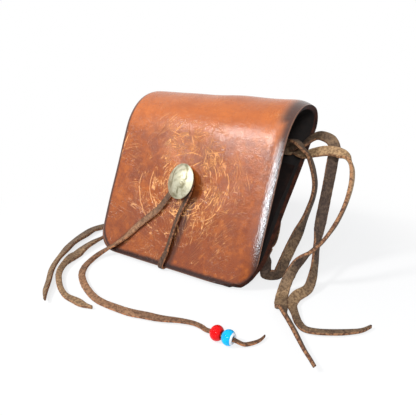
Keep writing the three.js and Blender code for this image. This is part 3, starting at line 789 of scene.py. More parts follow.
# The leather strip
FLAT_LENGTH = FOLD_START - FLAP_TIP + TIP_DROP
FRONT_ARC = FRONT_FOLD * math.pi / 2
BACK_ARC = BACK_FOLD * (math.pi / 2 + WEDGE)
FOLD_TOP = FOLD_START + FRONT_FOLD
SLOPE_TOP = (
    FRONT_FOLD + BACK_FOLD * math.cos(WEDGE),
    FOLD_TOP - BACK_FOLD - BACK_FOLD * math.sin(WEDGE),
)
SLOPE_LENGTH = (SLOPE_TOP[0] - SEAM_DEPTH) / math.sin(WEDGE)
SEAM_TOP = SLOPE_TOP[1] - SLOPE_LENGTH * math.cos(WEDGE)
UNDER_FLOOR = 0.003
STRIP_LENGTH = FLAT_LENGTH + FRONT_ARC + BACK_ARC + SLOPE_LENGTH + SEAM_TOP + UNDER_FLOOR
SPLIT_ALONG = FLAT_LENGTH + FRONT_ARC + BACK_ARC + (SLOPE_TOP[1] - BACK_SPLIT) / math.cos(WEDGE)


def strip_point(along):
    """Depth and height of the strip's outer face at a distance from the flap's tip, and its way outward."""
    if along <= FLAT_LENGTH:
        return (0.0, FLAP_TIP - TIP_DROP + along), (-1.0, 0.0)
    along -= FLAT_LENGTH
    if along <= FRONT_ARC:
        turn = along / FRONT_FOLD
        place = (FRONT_FOLD - FRONT_FOLD * math.cos(turn), FOLD_START + FRONT_FOLD * math.sin(turn))
        return place, (-math.cos(turn), math.sin(turn))
    along -= FRONT_ARC
    if along <= BACK_ARC:
        turn = along / BACK_FOLD
        middle = FOLD_TOP - BACK_FOLD
        place = (FRONT_FOLD + BACK_FOLD * math.sin(turn), middle + BACK_FOLD * math.cos(turn))
        return place, (math.sin(turn), math.cos(turn))
    along -= BACK_ARC
    if along <= SLOPE_LENGTH:
        place = (SLOPE_TOP[0] - along * math.sin(WEDGE), SLOPE_TOP[1] - along * math.cos(WEDGE))
        return place, (math.cos(WEDGE), -math.sin(WEDGE))
    along -= SLOPE_LENGTH
    return (SEAM_DEPTH, SEAM_TOP - along), (1.0, 0.0)


def strip_place(x, along, slack=0.0):
    """The point on the strip's outer face, and its outward direction, in the row frame."""
    (depth, height), (out_depth, out_height) = strip_point(along)
    out = BEHIND * out_depth + UPWARD * out_height
    point = at(x, depth, height)
    if slack:
        point += out * slack * noise.noise(point * 38) * 1.4
    return point, out


def half_at(from_end, half, corner):
    """Half the width of a panel with round corners, at a distance from its end."""
    if from_end >= corner:
        return half
    return half - corner + math.sqrt(max(corner ** 2 - (corner - from_end) ** 2, 0.0))


def rows_from_end(length, corner, pitch):
    """Distances from a panel's end: along the round corner first, and then evenly."""
    rows = [corner * (1 - math.cos(math.pi / 2 * index / 11)) for index in range(12)]
    count = max(1, round((length - corner) / pitch))
    rows += [corner + (length - corner) * (index + 1) / count for index in range(count)]
    return rows


def edge_curl(column, row, corners):
    """How far the strip curls inwards near its edges, most at the right side, where it has been handled."""
    corner = corners[0] if column < 0 else corners[1]
    half = half_at(row, HALF_WIDTH, corner)
    from_side = half * (1 - abs(column))
    reach, drop = (0.0095, 0.0027) if column > 0 else (0.003, 0.0006)
    curl = drop * max(0.0, 1 - from_side / reach) ** 2
    return curl + 0.0006 * max(0.0, 1 - row / 0.003) ** 2


def thicken_sheet(bm, thickness, edge_round, keep_square=None):
    """Gives an open sheet its thickness on the inner side and rounds the edges that keep_square leaves."""
    least_angle = 0.9
    bm.normal_update()
    bmesh.ops.solidify(bm, geom=list(bm.faces), thickness=thickness)
    bm.normal_update()
    rounded = []
    for edge in bm.edges:
        if len(edge.link_faces) != 2 or edge.calc_face_angle() <= least_angle:
            continue
        if keep_square and all(keep_square(vertex.co) for vertex in edge.verts):
            edge.smooth = False
        else:
            rounded.append(edge)
    bmesh.ops.bevel(
        bm, geom=rounded, offset=edge_round, offset_type="OFFSET", affect="EDGES", segments=3,
        profile=0.5, material=-1, clamp_overlap=True,
    )


def leather_sheet(from_flap, first, sizes, rows):
    """A bmesh of part of the strip: finish 0 outside, 1 inside and 2 on the cut edges."""
    bm = bmesh.new()
    columns = spread(49, 0.6)
    corners = FLAP_CORNERS if from_flap else (BODY_CORNER, BODY_CORNER)

    def place(column, row):
        along = first + row if from_flap else first - row
        x = column * half_at(row, HALF_WIDTH, corners[0] if column < 0 else corners[1])
        point, out = strip_place(x, along, sizes.slack)
        return point - out * edge_curl(column, row, corners), Vector((x, along, 0))

    uv = grid_between(bm, columns, rows, place)
    bm.normal_update()
    if not from_flap:
        bmesh.ops.reverse_faces(bm, faces=list(bm.faces))
    split_point = strip_place(0, SPLIT_ALONG)[0]
    split_way = (BEHIND * math.sin(WEDGE) + UPWARD * math.cos(WEDGE)).normalized()
    split_reach, broad_side = 0.0004, 0.75

    def at_split(point):
        return abs((point - split_point).dot(split_way)) < split_reach and point.y > 0

    thicken_sheet(bm, STRIP_LEATHER, sizes.edge_round, at_split)
    bm.normal_update()
    for face in bm.faces:
        along = sum(loop[uv].uv.y for loop in face.loops) / len(face.loops) / MAP_SCALE
        out = strip_place(0, along)[1]
        facing = face.normal.dot(out)
        face.material_index = 0 if facing > broad_side else 1 if facing < -broad_side else 2
    return bm


def cut_holes(piece, cutters):
    """Cuts a bmesh of closed shapes out of a piece, by a Boolean modifier that is applied at once."""
    cutter = link_mesh("cutter", cutters)
    spent = [piece.data, cutter.data]
    cut = piece.modifiers.new("Holes", "BOOLEAN")
    cut.operation = "DIFFERENCE"
    cut.solver = "EXACT"
    cut.object = cutter
    bpy.context.view_layer.update()
    graph = bpy.context.evaluated_depsgraph_get()
    result = bpy.data.meshes.new_from_object(
        piece.evaluated_get(graph), preserve_all_data_layers=True, depsgraph=graph,
    )
    piece.modifiers.clear()
    piece.data = result
    bpy.data.objects.remove(cutter)
    for mesh in spent:
        bpy.data.meshes.remove(mesh)


def box_cutter(bm, centre, axes, size):
    """Adds a box with its own axes to a bmesh of cutters."""
    made = bmesh.ops.create_cube(bm, size=1)
    turn = Matrix((axes[0], axes[1], axes[2])).transposed()
    for vertex in made["verts"]:
        local = Vector((vertex.co.x * size[0], vertex.co.y * size[1], vertex.co.z * size[2]))
        vertex.co = Vector(centre) + turn @ local


class POUCH_OT_cut_strip(bpy.types.Operator):
    """Cuts the thick leather strip and folds it into flap, fold and back panel"""

    bl_idname = "pouch.cut_strip"
    bl_label = "Cut and fold the leather strip"

    def execute(self, context):
        sizes = context.scene.pouch_leather
        finishes = [FINISHES["hide"], FINISHES["flesh"], FINISHES["cut"]]
        rows = rows_from_end(SPLIT_ALONG, FLAP_CORNERS[1], 0.0031)
        flap = new_piece(
            "flap_and_fold", leather_sheet(True, 0.0, sizes, rows), None, finishes,
            "strip_leather", ("flap",),
        )
        holes = bmesh.new()
        radius, depth = POST_HOLE
        post = bmesh.ops.create_cone(
            holes, cap_ends=True, segments=32, radius1=radius, radius2=radius, depth=depth,
        )
        turn = Matrix((ACROSS, UPWARD, OUTWARD)).transposed().to_4x4()
        centre = at(BUTTON_PLACE[0], STRIP_LEATHER / 2, BUTTON_PLACE[2])
        bmesh.ops.transform(holes, matrix=Matrix.Translation(centre) @ turn, verts=post["verts"])
        cut_holes(flap, holes)
        at(0, 0.040, 0.110)
        at(0, 0.010, 0.110)
        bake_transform(flap)

        rows = rows_from_end(STRIP_LENGTH - SPLIT_ALONG, BODY_CORNER, 0.0034)
        maker = leather_sheet(False, STRIP_LENGTH, sizes, rows)
        trim_at_floor(maker)
        back = new_piece("back_leather", maker, "pouch", finishes, "strip_leather", ("back_panel",))
        holes = bmesh.new()
        square_way = (BEHIND * math.cos(WEDGE) - UPWARD * math.sin(WEDGE)).normalized()
        up_way = (BEHIND * math.sin(WEDGE) + UPWARD * math.cos(WEDGE)).normalized()
        for x, height in SLOTS:
            outer = SLOPE_TOP[0] - (SLOPE_TOP[1] - height) * math.tan(WEDGE)
            middle = outer - STRIP_LEATHER / 2 / math.cos(WEDGE)
            box_cutter(holes, at(x, middle, height), (ACROSS, square_way, up_way), SLOT_SIZE)
        cut_holes(back, holes)
        return {"FINISHED"}


# The body behind the flap
class POUCH_OT_sew_body(bpy.types.Operator):
    """Makes the front panel, the pleated gussets and the stitches of the body"""

    bl_idname = "pouch.sew_body"
    bl_label = "Sew the body"

    def front_panel(self):
        """The front wall of the body, which reaches a little under the floor before it is trimmed."""
        bm = bmesh.new()
        low = (FRONT_FACE * math.sin(LEAN) - LIFT) / math.cos(LEAN) - 0.002
        half = HALF_WIDTH - FRONT_INSET
        corner = BODY_CORNER - FRONT_INSET

        def place(column, row):
            x = column * half_at(row, half, corner)
            return at(x, FRONT_FACE, low + row), Vector((x, row, 0))

        grid_between(bm, spread(29), rows_from_end(FRONT_TOP - low, corner, 0.004), place)
        thicken_sheet(bm, FRONT_LEATHER, 0.0007)
        bm.normal_update()
        for face in bm.faces:
            face.material_index = 0 if abs(face.normal.dot(OUTWARD)) > 0.7 else 1
        trim_at_floor(bm)
        finishes = [FINISHES["body"], FINISHES["body cut"]]
        return new_piece("front_wall", bm, "pouch", finishes, "body_leather", ("front_panel",))

    def gusset(self, side, name, node):
        """The pleated side wall between the front wall and the strip."""
        bm = bmesh.new()
        front_depth = FRONT_FACE + FRONT_LEATHER + SEAM_GAP

        def place(column, row):
            height = GUSSET_FOOT + (GUSSET_TOP - GUSSET_FOOT) * row
            outer = SLOPE_TOP[0] - (SLOPE_TOP[1] - height) * math.tan(WEDGE)
            back_depth = max(outer - STRIP_LEATHER / math.cos(WEDGE) - SEAM_GAP, front_depth + 0.0002)
            middle = (front_depth + back_depth) / 2
            reach = (back_depth - front_depth) / 2
            inward = GUSSET_PLEAT * row ** 0.8 * (1 - abs(column) ** 1.6)
            puff = 0.0007 * noise.noise(Vector((column * 2, row * 6, side)))
            x = side * (GUSSET_EDGE - inward + puff * (1 - abs(column)))
            depth = middle + reach * column
            return at(x, depth, height), Vector((depth, height, 0))

        columns = [index / 8 - 1 for index in range(17)]
        rows = [index / 22 for index in range(23)]
        grid_between(bm, columns, rows, place)
        bm.normal_update()
        if bm.faces[:][0].normal.x * side < 0:
            bmesh.ops.reverse_faces(bm, faces=list(bm.faces))
        thicken_sheet(bm, GUSSET_LEATHER, 0.0004)
        return new_piece(name, bm, "pouch", [FINISHES["body"]], "body_leather", (node,))

    def stitches(self, sizes):
        """Saddle stitches along the seam round the back panel, each one a low capsule laid on the leather."""
        bm = bmesh.new()
        margin = sizes.seam_margin
        half = HALF_WIDTH - margin
        corner = BODY_CORNER - margin
        top = SEAM_TOP + UNDER_FLOOR + 0.080
        straight_side = top - BODY_CORNER
        quarter = corner * math.pi / 2
        bottom = 2 * (half - corner)
        total = 2 * straight_side + 2 * quarter + bottom
        count = round(total / sizes.stitch_pitch)
        for index in range(count):
            here = (index + 0.5) * total / count
            if here < straight_side:
                x, row, turn = -half, top - here, math.pi / 2
            elif here < straight_side + quarter:
                angle = (here - straight_side) / corner
                x, row = -half + corner - corner * math.cos(angle), BODY_CORNER - corner * math.sin(angle)
                turn = math.pi / 2 - angle
            elif here < straight_side + quarter + bottom:
                x, row, turn = -half + corner + here - straight_side - quarter, margin, 0
            elif here < straight_side + 2 * quarter + bottom:
                angle = (here - straight_side - quarter - bottom) / corner
                x, row = half - corner + corner * math.sin(angle), BODY_CORNER - corner * math.cos(angle)
                turn = -angle
            else:
                x, row, turn = half, here - straight_side - 2 * quarter - bottom + BODY_CORNER, math.pi / 2
            if row < UNDER_FLOOR + 0.006:
                continue
            point, out = strip_place(x, STRIP_LENGTH - row, sizes.slack)
            upward = strip_place(x, STRIP_LENGTH - row - 0.001)[0] - strip_place(x, STRIP_LENGTH - row)[0]
            upward.normalize()
            run = ACROSS * math.cos(turn) + upward * math.sin(turn)
            run = (run + 0.12 * upward.cross(out).normalized() * math.sin(turn)).normalized()
            wide = out.cross(run).normalized()
            made = bmesh.ops.create_uvsphere(bm, u_segments=8, v_segments=6, radius=1)
            turned = Matrix((run, wide, out)).transposed()
            for vertex in made["verts"]:
                local = Vector([part * half for part, half in zip(vertex.co, STITCH_HALVES)])
                vertex.co = point + out * 0.0001 + turned @ local
        return new_piece("body_stitches", bm, "pouch", [FINISHES["thread"]], "thong_leather")

    def execute(self, context):
        sizes = context.scene.pouch_leather
        self.front_panel()
        self.gusset(1, "pleat_right", "gusset_right")
        self.gusset(-1, "pleat_left", "gusset_left")
        self.stitches(sizes)
        return {"FINISHED"}


# The button: the outline of its worn head on a disc of radius 1, and how it is moved and enlarged
HEAD_OUTLINE = [
    (-0.10, -0.74), (-0.02, -0.50), (0.02, -0.36), (0.16, -0.33), (0.26, -0.30), (0.29, -0.20),
    (0.27, -0.13), (0.31, -0.08), (0.29, -0.02), (0.33, 0.03), (0.38, 0.09), (0.31, 0.22),
    (0.29, 0.30), (0.27, 0.46), (0.16, 0.60), (0.0, 0.68), (-0.18, 0.68), (-0.34, 0.58),
    (-0.44, 0.40), (-0.47, 0.18), (-0.42, -0.04), (-0.46, -0.30), (-0.52, -0.60), (-0.40, -0.76),
]
HEAD_SHIFT = (0.12, 0.08)
HEAD_SCALE = 1.22


def depth_inside(x, y, outline):
    """Signed distance to a closed outline, positive inside it."""
    nearest = 9.0
    inside = False
    for (ax, ay), (bx, by) in zip(outline, outline[1:] + outline[:1]):
        if (ay > y) != (by > y) and x < (bx - ax) * (y - ay) / (by - ay) + ax:
            inside = not inside
        length = (bx - ax) ** 2 + (by - ay) ** 2
        share = min(max(((x - ax) * (bx - ax) + (y - ay) * (by - ay)) / length, 0), 1)
        nearest = min(nearest, math.hypot(x - ax - share * (bx - ax), y - ay - share * (by - ay)))
    return nearest if inside else -nearest


def relief_at(x, y):
    """Height and patina_and_shade of the worn head on the button, both from 0 to 1, on a disc of radius 1.
    The second is dark metal in the low places of the relief, with painted shade towards the lower left.
    """
    radius = math.hypot(x, y)
    wear = noise.noise(Vector((x * 5, y * 5, 1.7)))
    x, y = (x - HEAD_SHIFT[0]) / HEAD_SCALE, (y - HEAD_SHIFT[1]) / HEAD_SCALE
    depth = depth_inside(x, y, HEAD_OUTLINE)
    height = smooth(depth, -0.03, 0.16) * 0.75
    hair = 0.0
    if depth > 0.02 and x < 0.10 + 0.15 * y and y > -0.35:
        hair = math.sin(26 * (x * 0.55 - y * 0.65) + 3 * y * y) * smooth(depth, 0.02, 0.1)
    eye = smooth(0.075 - math.hypot((x - 0.17) * 0.9, y - 0.17), 0, 0.05)
    mouth = smooth(0.05 - math.hypot((x - 0.22) * 0.5, (y + 0.13) * 1.6), 0, 0.04)
    height += 0.16 * hair - 0.30 * eye - 0.18 * mouth
    height += 0.35 * smooth(radius, 0.86, 0.94) * smooth(-radius, -1.0, -0.95) + 0.10 * wear
    outline = smooth(depth, -0.14, -0.03) * smooth(-depth, -0.05, 0.0)
    patina_and_shade = max(outline, 0.7 * eye, 0.6 * mouth, -0.5 * hair) * (0.8 + 0.8 * wear)
    # Painted shade: darker towards the lower left of the dome, where the metal also has a greenish tarnish
    patina_and_shade = max(patina_and_shade, 0.5 * smooth(0.1 - x - y, 0.2, 1.3))
    return min(max(height, 0.0), 1.0), min(max(patina_and_shade, 0.0), 1.0)


class POUCH_OT_set_button(bpy.types.Operator):
    """Makes the domed button with its worn relief, and finishes its post and washer"""

    bl_idname = "pouch.set_button"
    bl_label = "Set the button"

    def execute(self, context):
        radius, dome, rim = BUTTON_RADIUS, BUTTON_DOME, BUTTON_RIM
        sphere = (radius ** 2 + (dome - rim) ** 2) / (2 * (dome - rim))
        bm = bmesh.new()
        layer = bm.verts.layers.float.new("patina_and_shade")
        rings = 46
        profile = [bm.verts.new((0.0001, 0, 0)), bm.verts.new((radius * 0.93, 0, 0))]
        profile.append(bm.verts.new((radius, 0, rim * 0.25)))
        profile.append(bm.verts.new((radius, 0, rim * 0.8)))
        for ring in range(1, rings):
            far = radius * (1 - ring / rings) if ring > 1 else radius * 0.985
            profile.append(bm.verts.new((far, 0, dome - sphere + math.sqrt(sphere ** 2 - far ** 2))))
        profile.append(bm.verts.new((0.0001, 0, dome)))
        edges = [bm.edges.new(pair) for pair in zip(profile, profile[1:])]
        bmesh.ops.spin(bm, geom=profile + edges, cent=(0, 0, 0), axis=(0, 0, 1), angle=2 * math.pi,
                       steps=150, use_merge=True)
        bmesh.ops.remove_doubles(bm, verts=bm.verts, dist=0.00003)
        bmesh.ops.recalc_face_normals(bm, faces=bm.faces)
        level = ACROSS * math.cos(BUTTON_TILT) + OUTWARD * math.sin(BUTTON_TILT)
        turn = Matrix((level, UPWARD, level.cross(UPWARD))).transposed()
        centre = at(*BUTTON_PLACE)
        for vertex in bm.verts:
            if vertex.co.z > rim * 0.9:
                lift, patina_and_shade = relief_at(vertex.co.x / radius, vertex.co.y / radius)
                vertex[layer] = patina_and_shade
                vertex.co.z += BUTTON_RELIEF * (lift - 0.75)
            vertex.co = centre + turn @ vertex.co
        new_piece("button_face", bm, "flap", [FINISHES["button"]], "button_metal", ("button_dome",))
        for name in ("button_post", "button_washer"):
            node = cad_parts[name]
            node.data.materials.clear()
            node.data.materials.append(FINISHES["button"])
        return {"FINISHED"}


# Cords
def smooth_route(points, pitch=0.0012):
    """Points close together along a centripetal Catmull-Rom curve through the given ones."""
    points = [Vector(point) for point in points]
    ends = [2 * points[0] - points[1]] + points + [2 * points[-1] - points[-2]]
    route = []
    for before, first, second, after in zip(ends, ends[1:], ends[2:], ends[3:]):
        knots = [0.0]
        for one, other in ((before, first), (first, second), (second, after)):
            knots.append(knots[-1] + max((other - one).length, 1e-7) ** 0.5)
        count = max(1, round((second - first).length / pitch))
        for index in range(count):
            t = knots[1] + (knots[2] - knots[1]) * index / count
            a1 = before.lerp(first, t / knots[1])
            a2 = first.lerp(second, (t - knots[1]) / (knots[2] - knots[1]))
            a3 = second.lerp(after, (t - knots[2]) / (knots[3] - knots[2]))
            b1 = a1.lerp(a2, t / knots[2])
            b2 = a2.lerp(a3, (t - knots[1]) / (knots[3] - knots[1]))
            route.append(b1.lerp(b2, (t - knots[1]) / (knots[2] - knots[1])))
    route.append(points[-1])
    return route


def route_length(route):
    return sum((second - first).length for first, second in zip(route, route[1:]))


def face_at(faces, share):
    """The way that a strap's flat side faces, at a share of its length."""
    for (low, first), (high, second) in zip(faces, faces[1:]):
        if share <= high:
            return Vector(first).lerp(Vector(second), smooth(share, low, high)).normalized()
    return Vector(faces[-1][1]).normalized()


def level_at(levels, share):
    """A value between the listed ones, at a share of a cord's length."""
    for (low, first), (high, second) in zip(levels, levels[1:]):
        if share <= high:
            return first + (second - first) * smooth(share, low, high)
    return levels[-1][1]


def strap_section(sides=20):
    """A flat section with round edges: across and through from -1 to 1, and the share of a rim at a point."""
    section = []
    for index in range(sides):
        angle = 2 * math.pi * (index + 0.5) / sides
        across = math.copysign(abs(math.cos(angle)) ** 0.35, math.cos(angle))
        through = math.copysign(abs(math.sin(angle)) ** 0.55, math.sin(angle))
        section.append((across, through, smooth(abs(across), 0.90, 0.985)))
    return section


def strap(points, faces, width, thickness, seed=0.0, tip=0.0, widths=((0, 1), (1, 1)),
          paleness=((0, 0.3), (1, 0.3)), pitch=0.0012):
    """A bmesh of a flat strap along a route, and the route. tip is the length that is cut to a point."""
    route = smooth_route(points, pitch)
    length = route_length(route)
    section = strap_section()
    bm = bmesh.new()
    side_layer = bm.verts.layers.float.new("side")
    rim_layer = bm.verts.layers.float.new("rim")
    pale_layer = bm.verts.layers.float.new("pale")
    count = len(route)
    shares = []
    gone = 0.0
    for index, point in enumerate(route):
        if index:
            gone += (point - route[index - 1]).length
        shares.append(gone / length)
    frames = []
    for index, point in enumerate(route):
        tangent = (route[min(index + 2, count - 1)] - route[max(index - 2, 0)]).normalized()
        face = face_at(faces, shares[index])
        face = (face - tangent * face.dot(tangent)).normalized()
        frames.append((point, tangent.cross(face).normalized(), face))
    sides = len(section)
    where = grid_cells(bm, sides, count - 1)
    uv = bm.loops.layers.uv.new("UVMap")
    for face in bm.faces:
        for loop in face.loops:
            column, row = where[loop.vert]
            loop[uv].uv = (shares[row] * length * MAP_SCALE, column / sides * (width + thickness) * 20)
    for vertex, (column, row) in where.items():
        point, across_way, face = frames[row]
        sink = abs(across_way.z) * width / 2 + abs(face.z) * thickness / 2 + 0.0004
        point = Vector((point.x, point.y, max(point.z, sink)))
        across, through, rim = section[column % sides]
        share = shares[row]
        narrow = level_at(widths, share) * (1 + 0.09 * noise.noise(Vector((share * length * 45, seed, 0))))
        if tip:
            narrow *= 0.18 + 0.82 * smooth(length * (1 - share), -0.3 * tip, tip)
        thick = 1 + 0.10 * noise.noise(Vector((share * length * 60, seed, 5)))
        thick *= 0.55 + 0.45 * min(level_at(widths, share), 1.0)
        ragged = 0.00022 * noise.noise(Vector((share * length * 400, seed + column % sides, 9)))
        vertex.co = (
            point
            + across_way * (across * (width / 2 * narrow + ragged * rim))
            + face * (through * thickness / 2 * thick)
        )
        vertex[side_layer] = 1.0 if through > 0 else 0.0
        vertex[rim_layer] = rim
        vertex[pale_layer] = level_at(paleness, share)
    bmesh.ops.remove_doubles(bm, verts=bm.verts, dist=0.000004)
    open_edges = [edge for edge in bm.edges if edge.is_boundary]
    bmesh.ops.holes_fill(bm, edges=open_edges, sides=0)
    bmesh.ops.recalc_face_normals(bm, faces=bm.faces)
    return bm, route


def lay_cord(name, node, points, faces, width, thickness, finish, far_end="bare", with_pieces=(), **shape):
    """A free flat cord: its mesh and its place in the frame."""
    bm, route = strap(points, faces, width, thickness, **shape)
    piece = new_piece(name, bm, "pouch", [finish], "thong_leather", (node,))
    route_length(route)


def knot_strap(name, node, centre, axes, reach, width, thickness, finish):
    """An overhand knot of strap, laid in an ellipsoid with the given half sizes."""
    points = []
    for index in range(41):
        turn = 0.25 + (2 * math.pi - 0.5) * index / 40
        knot = Vector((math.sin(turn) + 2 * math.sin(2 * turn), math.cos(turn) - 2 * math.cos(2 * turn),
                       -1.2 * math.sin(3 * turn)))
        place = Vector(centre)
        for axis, part, half in zip(axes, (knot.x / 3, knot.y / 3, knot.z / 1.2), reach):
            place += Vector(axis) * part * half
        points.append(place)
    faces = [(0.0, axes[2]), (1.0, axes[2])]
    bm = strap(points, faces, width, thickness, pitch=0.0008)[0]
    return new_piece(name, bm, "pouch", [finish], "thong_leather", (node,))


class POUCH_OT_lay_lace(bpy.types.Operator):
    """Lays the closure lace round the button, with its knot and its two beads"""

    bl_idname = "pouch.lay_lace"
    bl_label = "Lay the lace and its beads"

    def bead(self, name, node, finishes):
        """A bead with a bore along x. A second finish covers its right end with a painted highlight."""
        low, high = (Vector(corner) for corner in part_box(node))
        centre = (low + high) / 2
        outer = (high.z - low.z) / 2
        half = (high.x - low.x) / 2
        bore, mouth = 0.0016, 0.0022
        lip = math.asin(mouth / outer)
        reach = half / math.cos(lip)
        bm = bmesh.new()
        outline = [(-half + 0.0007, bore)]
        for index in range(19):
            turn = lip + (math.pi - 2 * lip) * index / 18
            outline.append((-reach * math.cos(turn), outer * math.sin(turn)))
        outline.append((half - 0.0007, bore))
        corners = [bm.verts.new((along, 0, across)) for along, across in outline]
        for pair in zip(corners, corners[1:] + corners[:1]):
            bm.edges.new(pair)
        bmesh.ops.spin(bm, geom=bm.verts[:] + bm.edges[:], cent=(0, 0, 0), axis=(1, 0, 0),
                       angle=2 * math.pi, steps=40, use_merge=True)
        bmesh.ops.recalc_face_normals(bm, faces=bm.faces)
        # The second finish paints a white highlight on the bead's right end
        if len(finishes) > 1:
            for face in bm.faces:
                middle = face.calc_center_median()
                if middle.x > half * 0.74:
                    face.material_index = 1
        bmesh.ops.translate(bm, vec=centre, verts=bm.verts)
        return new_piece(name, bm, "pouch", finishes, node.split("_")[0] + "_glass", (node,))

    def execute(self, context):
        sizes = context.scene.pouch_thongs
        red = self.bead("bead_red", "red_bead", [FINISHES["red"]])
        blue = self.bead("bead_blue", "blue_bead", [FINISHES["blue"], FINISHES["white"]])

        knot_strap(
            "stopper_knot", "lace_knot", at(-0.004, 0.0115, 0.027), (ACROSS, UPWARD, BEHIND),
            (0.0030, 0.0030, 0.0012), 0.0022, 0.0014, FINISHES["lace"],
        )
        lay_cord(
            "lace", "closure_lace", LACE_ROUTE, LACE_FACES, sizes.lace_width, sizes.lace_thickness,
            FINISHES["lace"], with_pieces=[red, blue], seed=2.0, tip=0.012, widths=LACE_WIDTHS,
            paleness=LACE_PALENESS,
        )
        return {"FINISHED"}


# The free thongs: piece, node, route, faces, widths, paleness, seed, and how they end
THONGS = [
    ("side_loop", "side_loop_right", SIDE_LOOP_ROUTE, SIDE_LOOP_FACES,
     SIDE_LOOP_WIDTHS, SIDE_LOOP_PALENESS, 7.0, {"far_end": "object"}),
    ("long_tail", "long_tail_right", LONG_TAIL_ROUTE, LONG_TAIL_FACES,
     LONG_TAIL_WIDTHS, LONG_TAIL_PALENESS, 11.0, {"tip": 0.02}),
    ("short_tail", "short_tail_right", SHORT_TAIL_ROUTE, SHORT_TAIL_FACES,
     SHORT_TAIL_WIDTHS, SHORT_TAIL_PALENESS, 13.0, {"tip": 0.03}),
    ("outer_tail", "outer_tail_left", OUTER_TAIL_ROUTE, OUTER_TAIL_FACES,
     OUTER_TAIL_WIDTHS, OUTER_TAIL_PALENESS, 17.0, {"tip": 0.015}),
    ("inner_tail", "inner_tail_left", INNER_TAIL_ROUTE, INNER_TAIL_FACES,
     INNER_TAIL_WIDTHS, INNER_TAIL_PALENESS, 19.0, {"tip": 0.01}),
]


class POUCH_OT_tie_thongs(bpy.types.Operator):
    """Ties the thongs at both sides and lays their loops and tails"""

    bl_idname = "pouch.tie_thongs"
    bl_label = "Tie the thongs"

    def execute(self, context):
        sizes = context.scene.pouch_thongs
        width, thickness = sizes.thong_width, sizes.thong_thickness
        for side, hand in ((1, "right"), (-1, "left")):
            low, high = (Vector(corner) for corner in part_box("tie_knot_" + hand))
            knot_strap(
                "knot_" + hand, "tie_knot_" + hand, (low + high) / 2, (ACROSS * side, UPWARD, BEHIND),
                (0.0072, 0.0036, 0.0022), 0.0050, 0.0022, FINISHES["thong"],
            )
            route = [(side * x, y, z) for x, y, z in BELT_LOOP_ROUTE]
            lay_cord("loop_" + hand, "belt_loop_" + hand, route, BELT_LOOP_FACES, width, thickness,
                     FINISHES["thong"], far_end="object", seed=3.0 + side)
        for name, node, route, faces, widths, paleness, seed, ends in THONGS:
            lay_cord(name, node, route, faces, width, thickness, FINISHES["thong"], seed=seed, widths=widths,
                     paleness=paleness, **ends)
        return {"FINISHED"}


# Floor, light and camera. Each lamp has its name, place, size, watts and colour
LAMP_AIM = (0, 0, 0.05)
LAMPS = [
    ("key", (-0.15, -0.45, 0.98), 0.5, 0.5, (1.0, 0.98, 0.95)),
    ("sheen", (-0.38, -0.62, 0.73), 0.18, 6.6, (1.0, 0.98, 0.97)),
    ("side", (0.38, -0.82, 0.52), 0.27, 6.2, (0.90, 0.95, 1.0)),
]


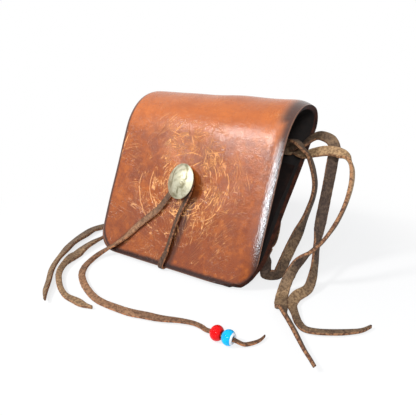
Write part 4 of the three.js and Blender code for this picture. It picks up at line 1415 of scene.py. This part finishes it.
class POUCH_OT_dress_stage(bpy.types.Operator):
    """Sets the pale floor, the soft lamps and the camera of the photograph"""

    bl_idname = "pouch.dress_stage"
    bl_label = "Dress the stage"

    def floor(self):
        """A pale floor that the camera sees turn to white away from the pouch."""
        bm = bmesh.new()
        bmesh.ops.create_grid(bm, x_segments=1, y_segments=1, size=3)
        floor = link_mesh("floor", bm)
        material, tree, shader = new_material("Pale floor")
        shader["Base Color"].default_value = (0.86, 0.86, 0.86, 1)
        shader["Roughness"].default_value = 0.9
        shader["Specular IOR Level"].default_value = 0.1
        rays = wire(tree, "ShaderNodeLightPath")["Is Camera Ray"]
        fading = object_of(tree).vector("LENGTH", output="Value").step(0.11, 0.22, 0.75, 1.0)
        plain = Field(tree, tree.nodes["Principled BSDF"].outputs[0])
        shine = wire(tree, "ShaderNodeEmission", {"Color": (1, 1, 1, 1), "Strength": 1.0})[0]
        mixed = wire(tree, "ShaderNodeMixShader", {0: rays * fading, 1: plain, 2: shine})[0]
        mixed.into(tree.nodes["Material Output"].inputs["Surface"])
        floor.data.materials.append(material)

    def lamp(self, name, place, size, watts, colour):
        """A round soft lamp that is turned to the pouch."""
        light = bpy.data.lights.new(name, "AREA")
        light.shape = "DISK"
        light.size = size
        light.energy = watts
        light.color = colour
        lamp = bpy.data.objects.new(name, light)
        bpy.context.scene.collection.objects.link(lamp)
        lamp.location = place
        lamp.rotation_euler = (Vector(LAMP_AIM) - Vector(place)).to_track_quat("-Z", "Y").to_euler()

    def execute(self, context):
        scene = context.scene
        self.floor()
        world = bpy.data.worlds.new("Studio")
        scene.world = world
        world.use_nodes = True
        tree = world.node_tree
        soft = tree.nodes["Background"]
        fill(soft, {"Color": (0.92, 0.95, 1.0, 1), "Strength": 0.48})
        white = wire(tree, "ShaderNodeBackground", {"Color": (1, 1, 1, 1), "Strength": 1.0})[0]
        path = wire(tree, "ShaderNodeLightPath")
        seen = most_of([path["Is Camera Ray"], path["Is Glossy Ray"], path["Is Transmission Ray"]])
        mixed = wire(tree, "ShaderNodeMixShader", {0: seen, 1: Field(tree, soft.outputs[0]), 2: white})[0]
        mixed.into(tree.nodes["World Output"].inputs["Surface"])
        for lamp in LAMPS:
            self.lamp(*lamp)

        lens = bpy.data.cameras.new("camera")
        lens.sensor_width = 36
        lens.lens = CAMERA_LENS
        lens.shift_x, lens.shift_y = CAMERA_SHIFT
        lens.clip_start = 0.01
        camera = bpy.data.objects.new("camera", lens)
        scene.collection.objects.link(camera)
        camera.location = CAMERA_PLACE
        camera.rotation_euler = CAMERA_TURN
        scene.camera = camera
        scene.view_settings.view_transform = "Standard"
        return {"FINISHED"}


# Sidebar
class VIEW3D_PT_belt_pouch(bpy.types.Panel):
    """Sizes and colours of the pouch, and the steps that make it"""

    bl_label = "Leather belt pouch"
    bl_space_type = "VIEW_3D"
    bl_region_type = "UI"
    bl_category = "Belt pouch"

    def draw(self, context):
        layout = self.layout
        for group, names in (
            (context.scene.pouch_leather, PouchLeather.__annotations__),
            (context.scene.pouch_thongs, PouchThongs.__annotations__),
            (context.scene.pouch_colours, PouchColours.__annotations__),
        ):
            box = layout.box()
            for name in names:
                box.prop(group, name)
        for step in STEPS:
            layout.operator(step.bl_idname)


STEPS = (POUCH_OT_dress_stage, POUCH_OT_cut_strip, POUCH_OT_sew_body, POUCH_OT_set_button,
         POUCH_OT_lay_lace, POUCH_OT_tie_thongs)
CLASSES = (PouchLeather, PouchThongs, PouchColours, *STEPS, VIEW3D_PT_belt_pouch)
FINISHES = {}


def register():
    for kind in CLASSES:
        bpy.utils.register_class(kind)
    bpy.types.Scene.pouch_leather = bpy.props.PointerProperty(type=PouchLeather)
    bpy.types.Scene.pouch_thongs = bpy.props.PointerProperty(type=PouchThongs)
    bpy.types.Scene.pouch_colours = bpy.props.PointerProperty(type=PouchColours)


def unregister():
    del bpy.types.Scene.pouch_colours
    del bpy.types.Scene.pouch_thongs
    del bpy.types.Scene.pouch_leather
    for kind in reversed(CLASSES):
        bpy.utils.unregister_class(kind)


def main():
    register()
    FINISHES.update(make_finishes(bpy.context.scene.pouch_colours))
    for step in STEPS:
        package, name = step.bl_idname.split(".")
        getattr(getattr(bpy.ops, package), name)()


if __name__ == "__main__":
    main()
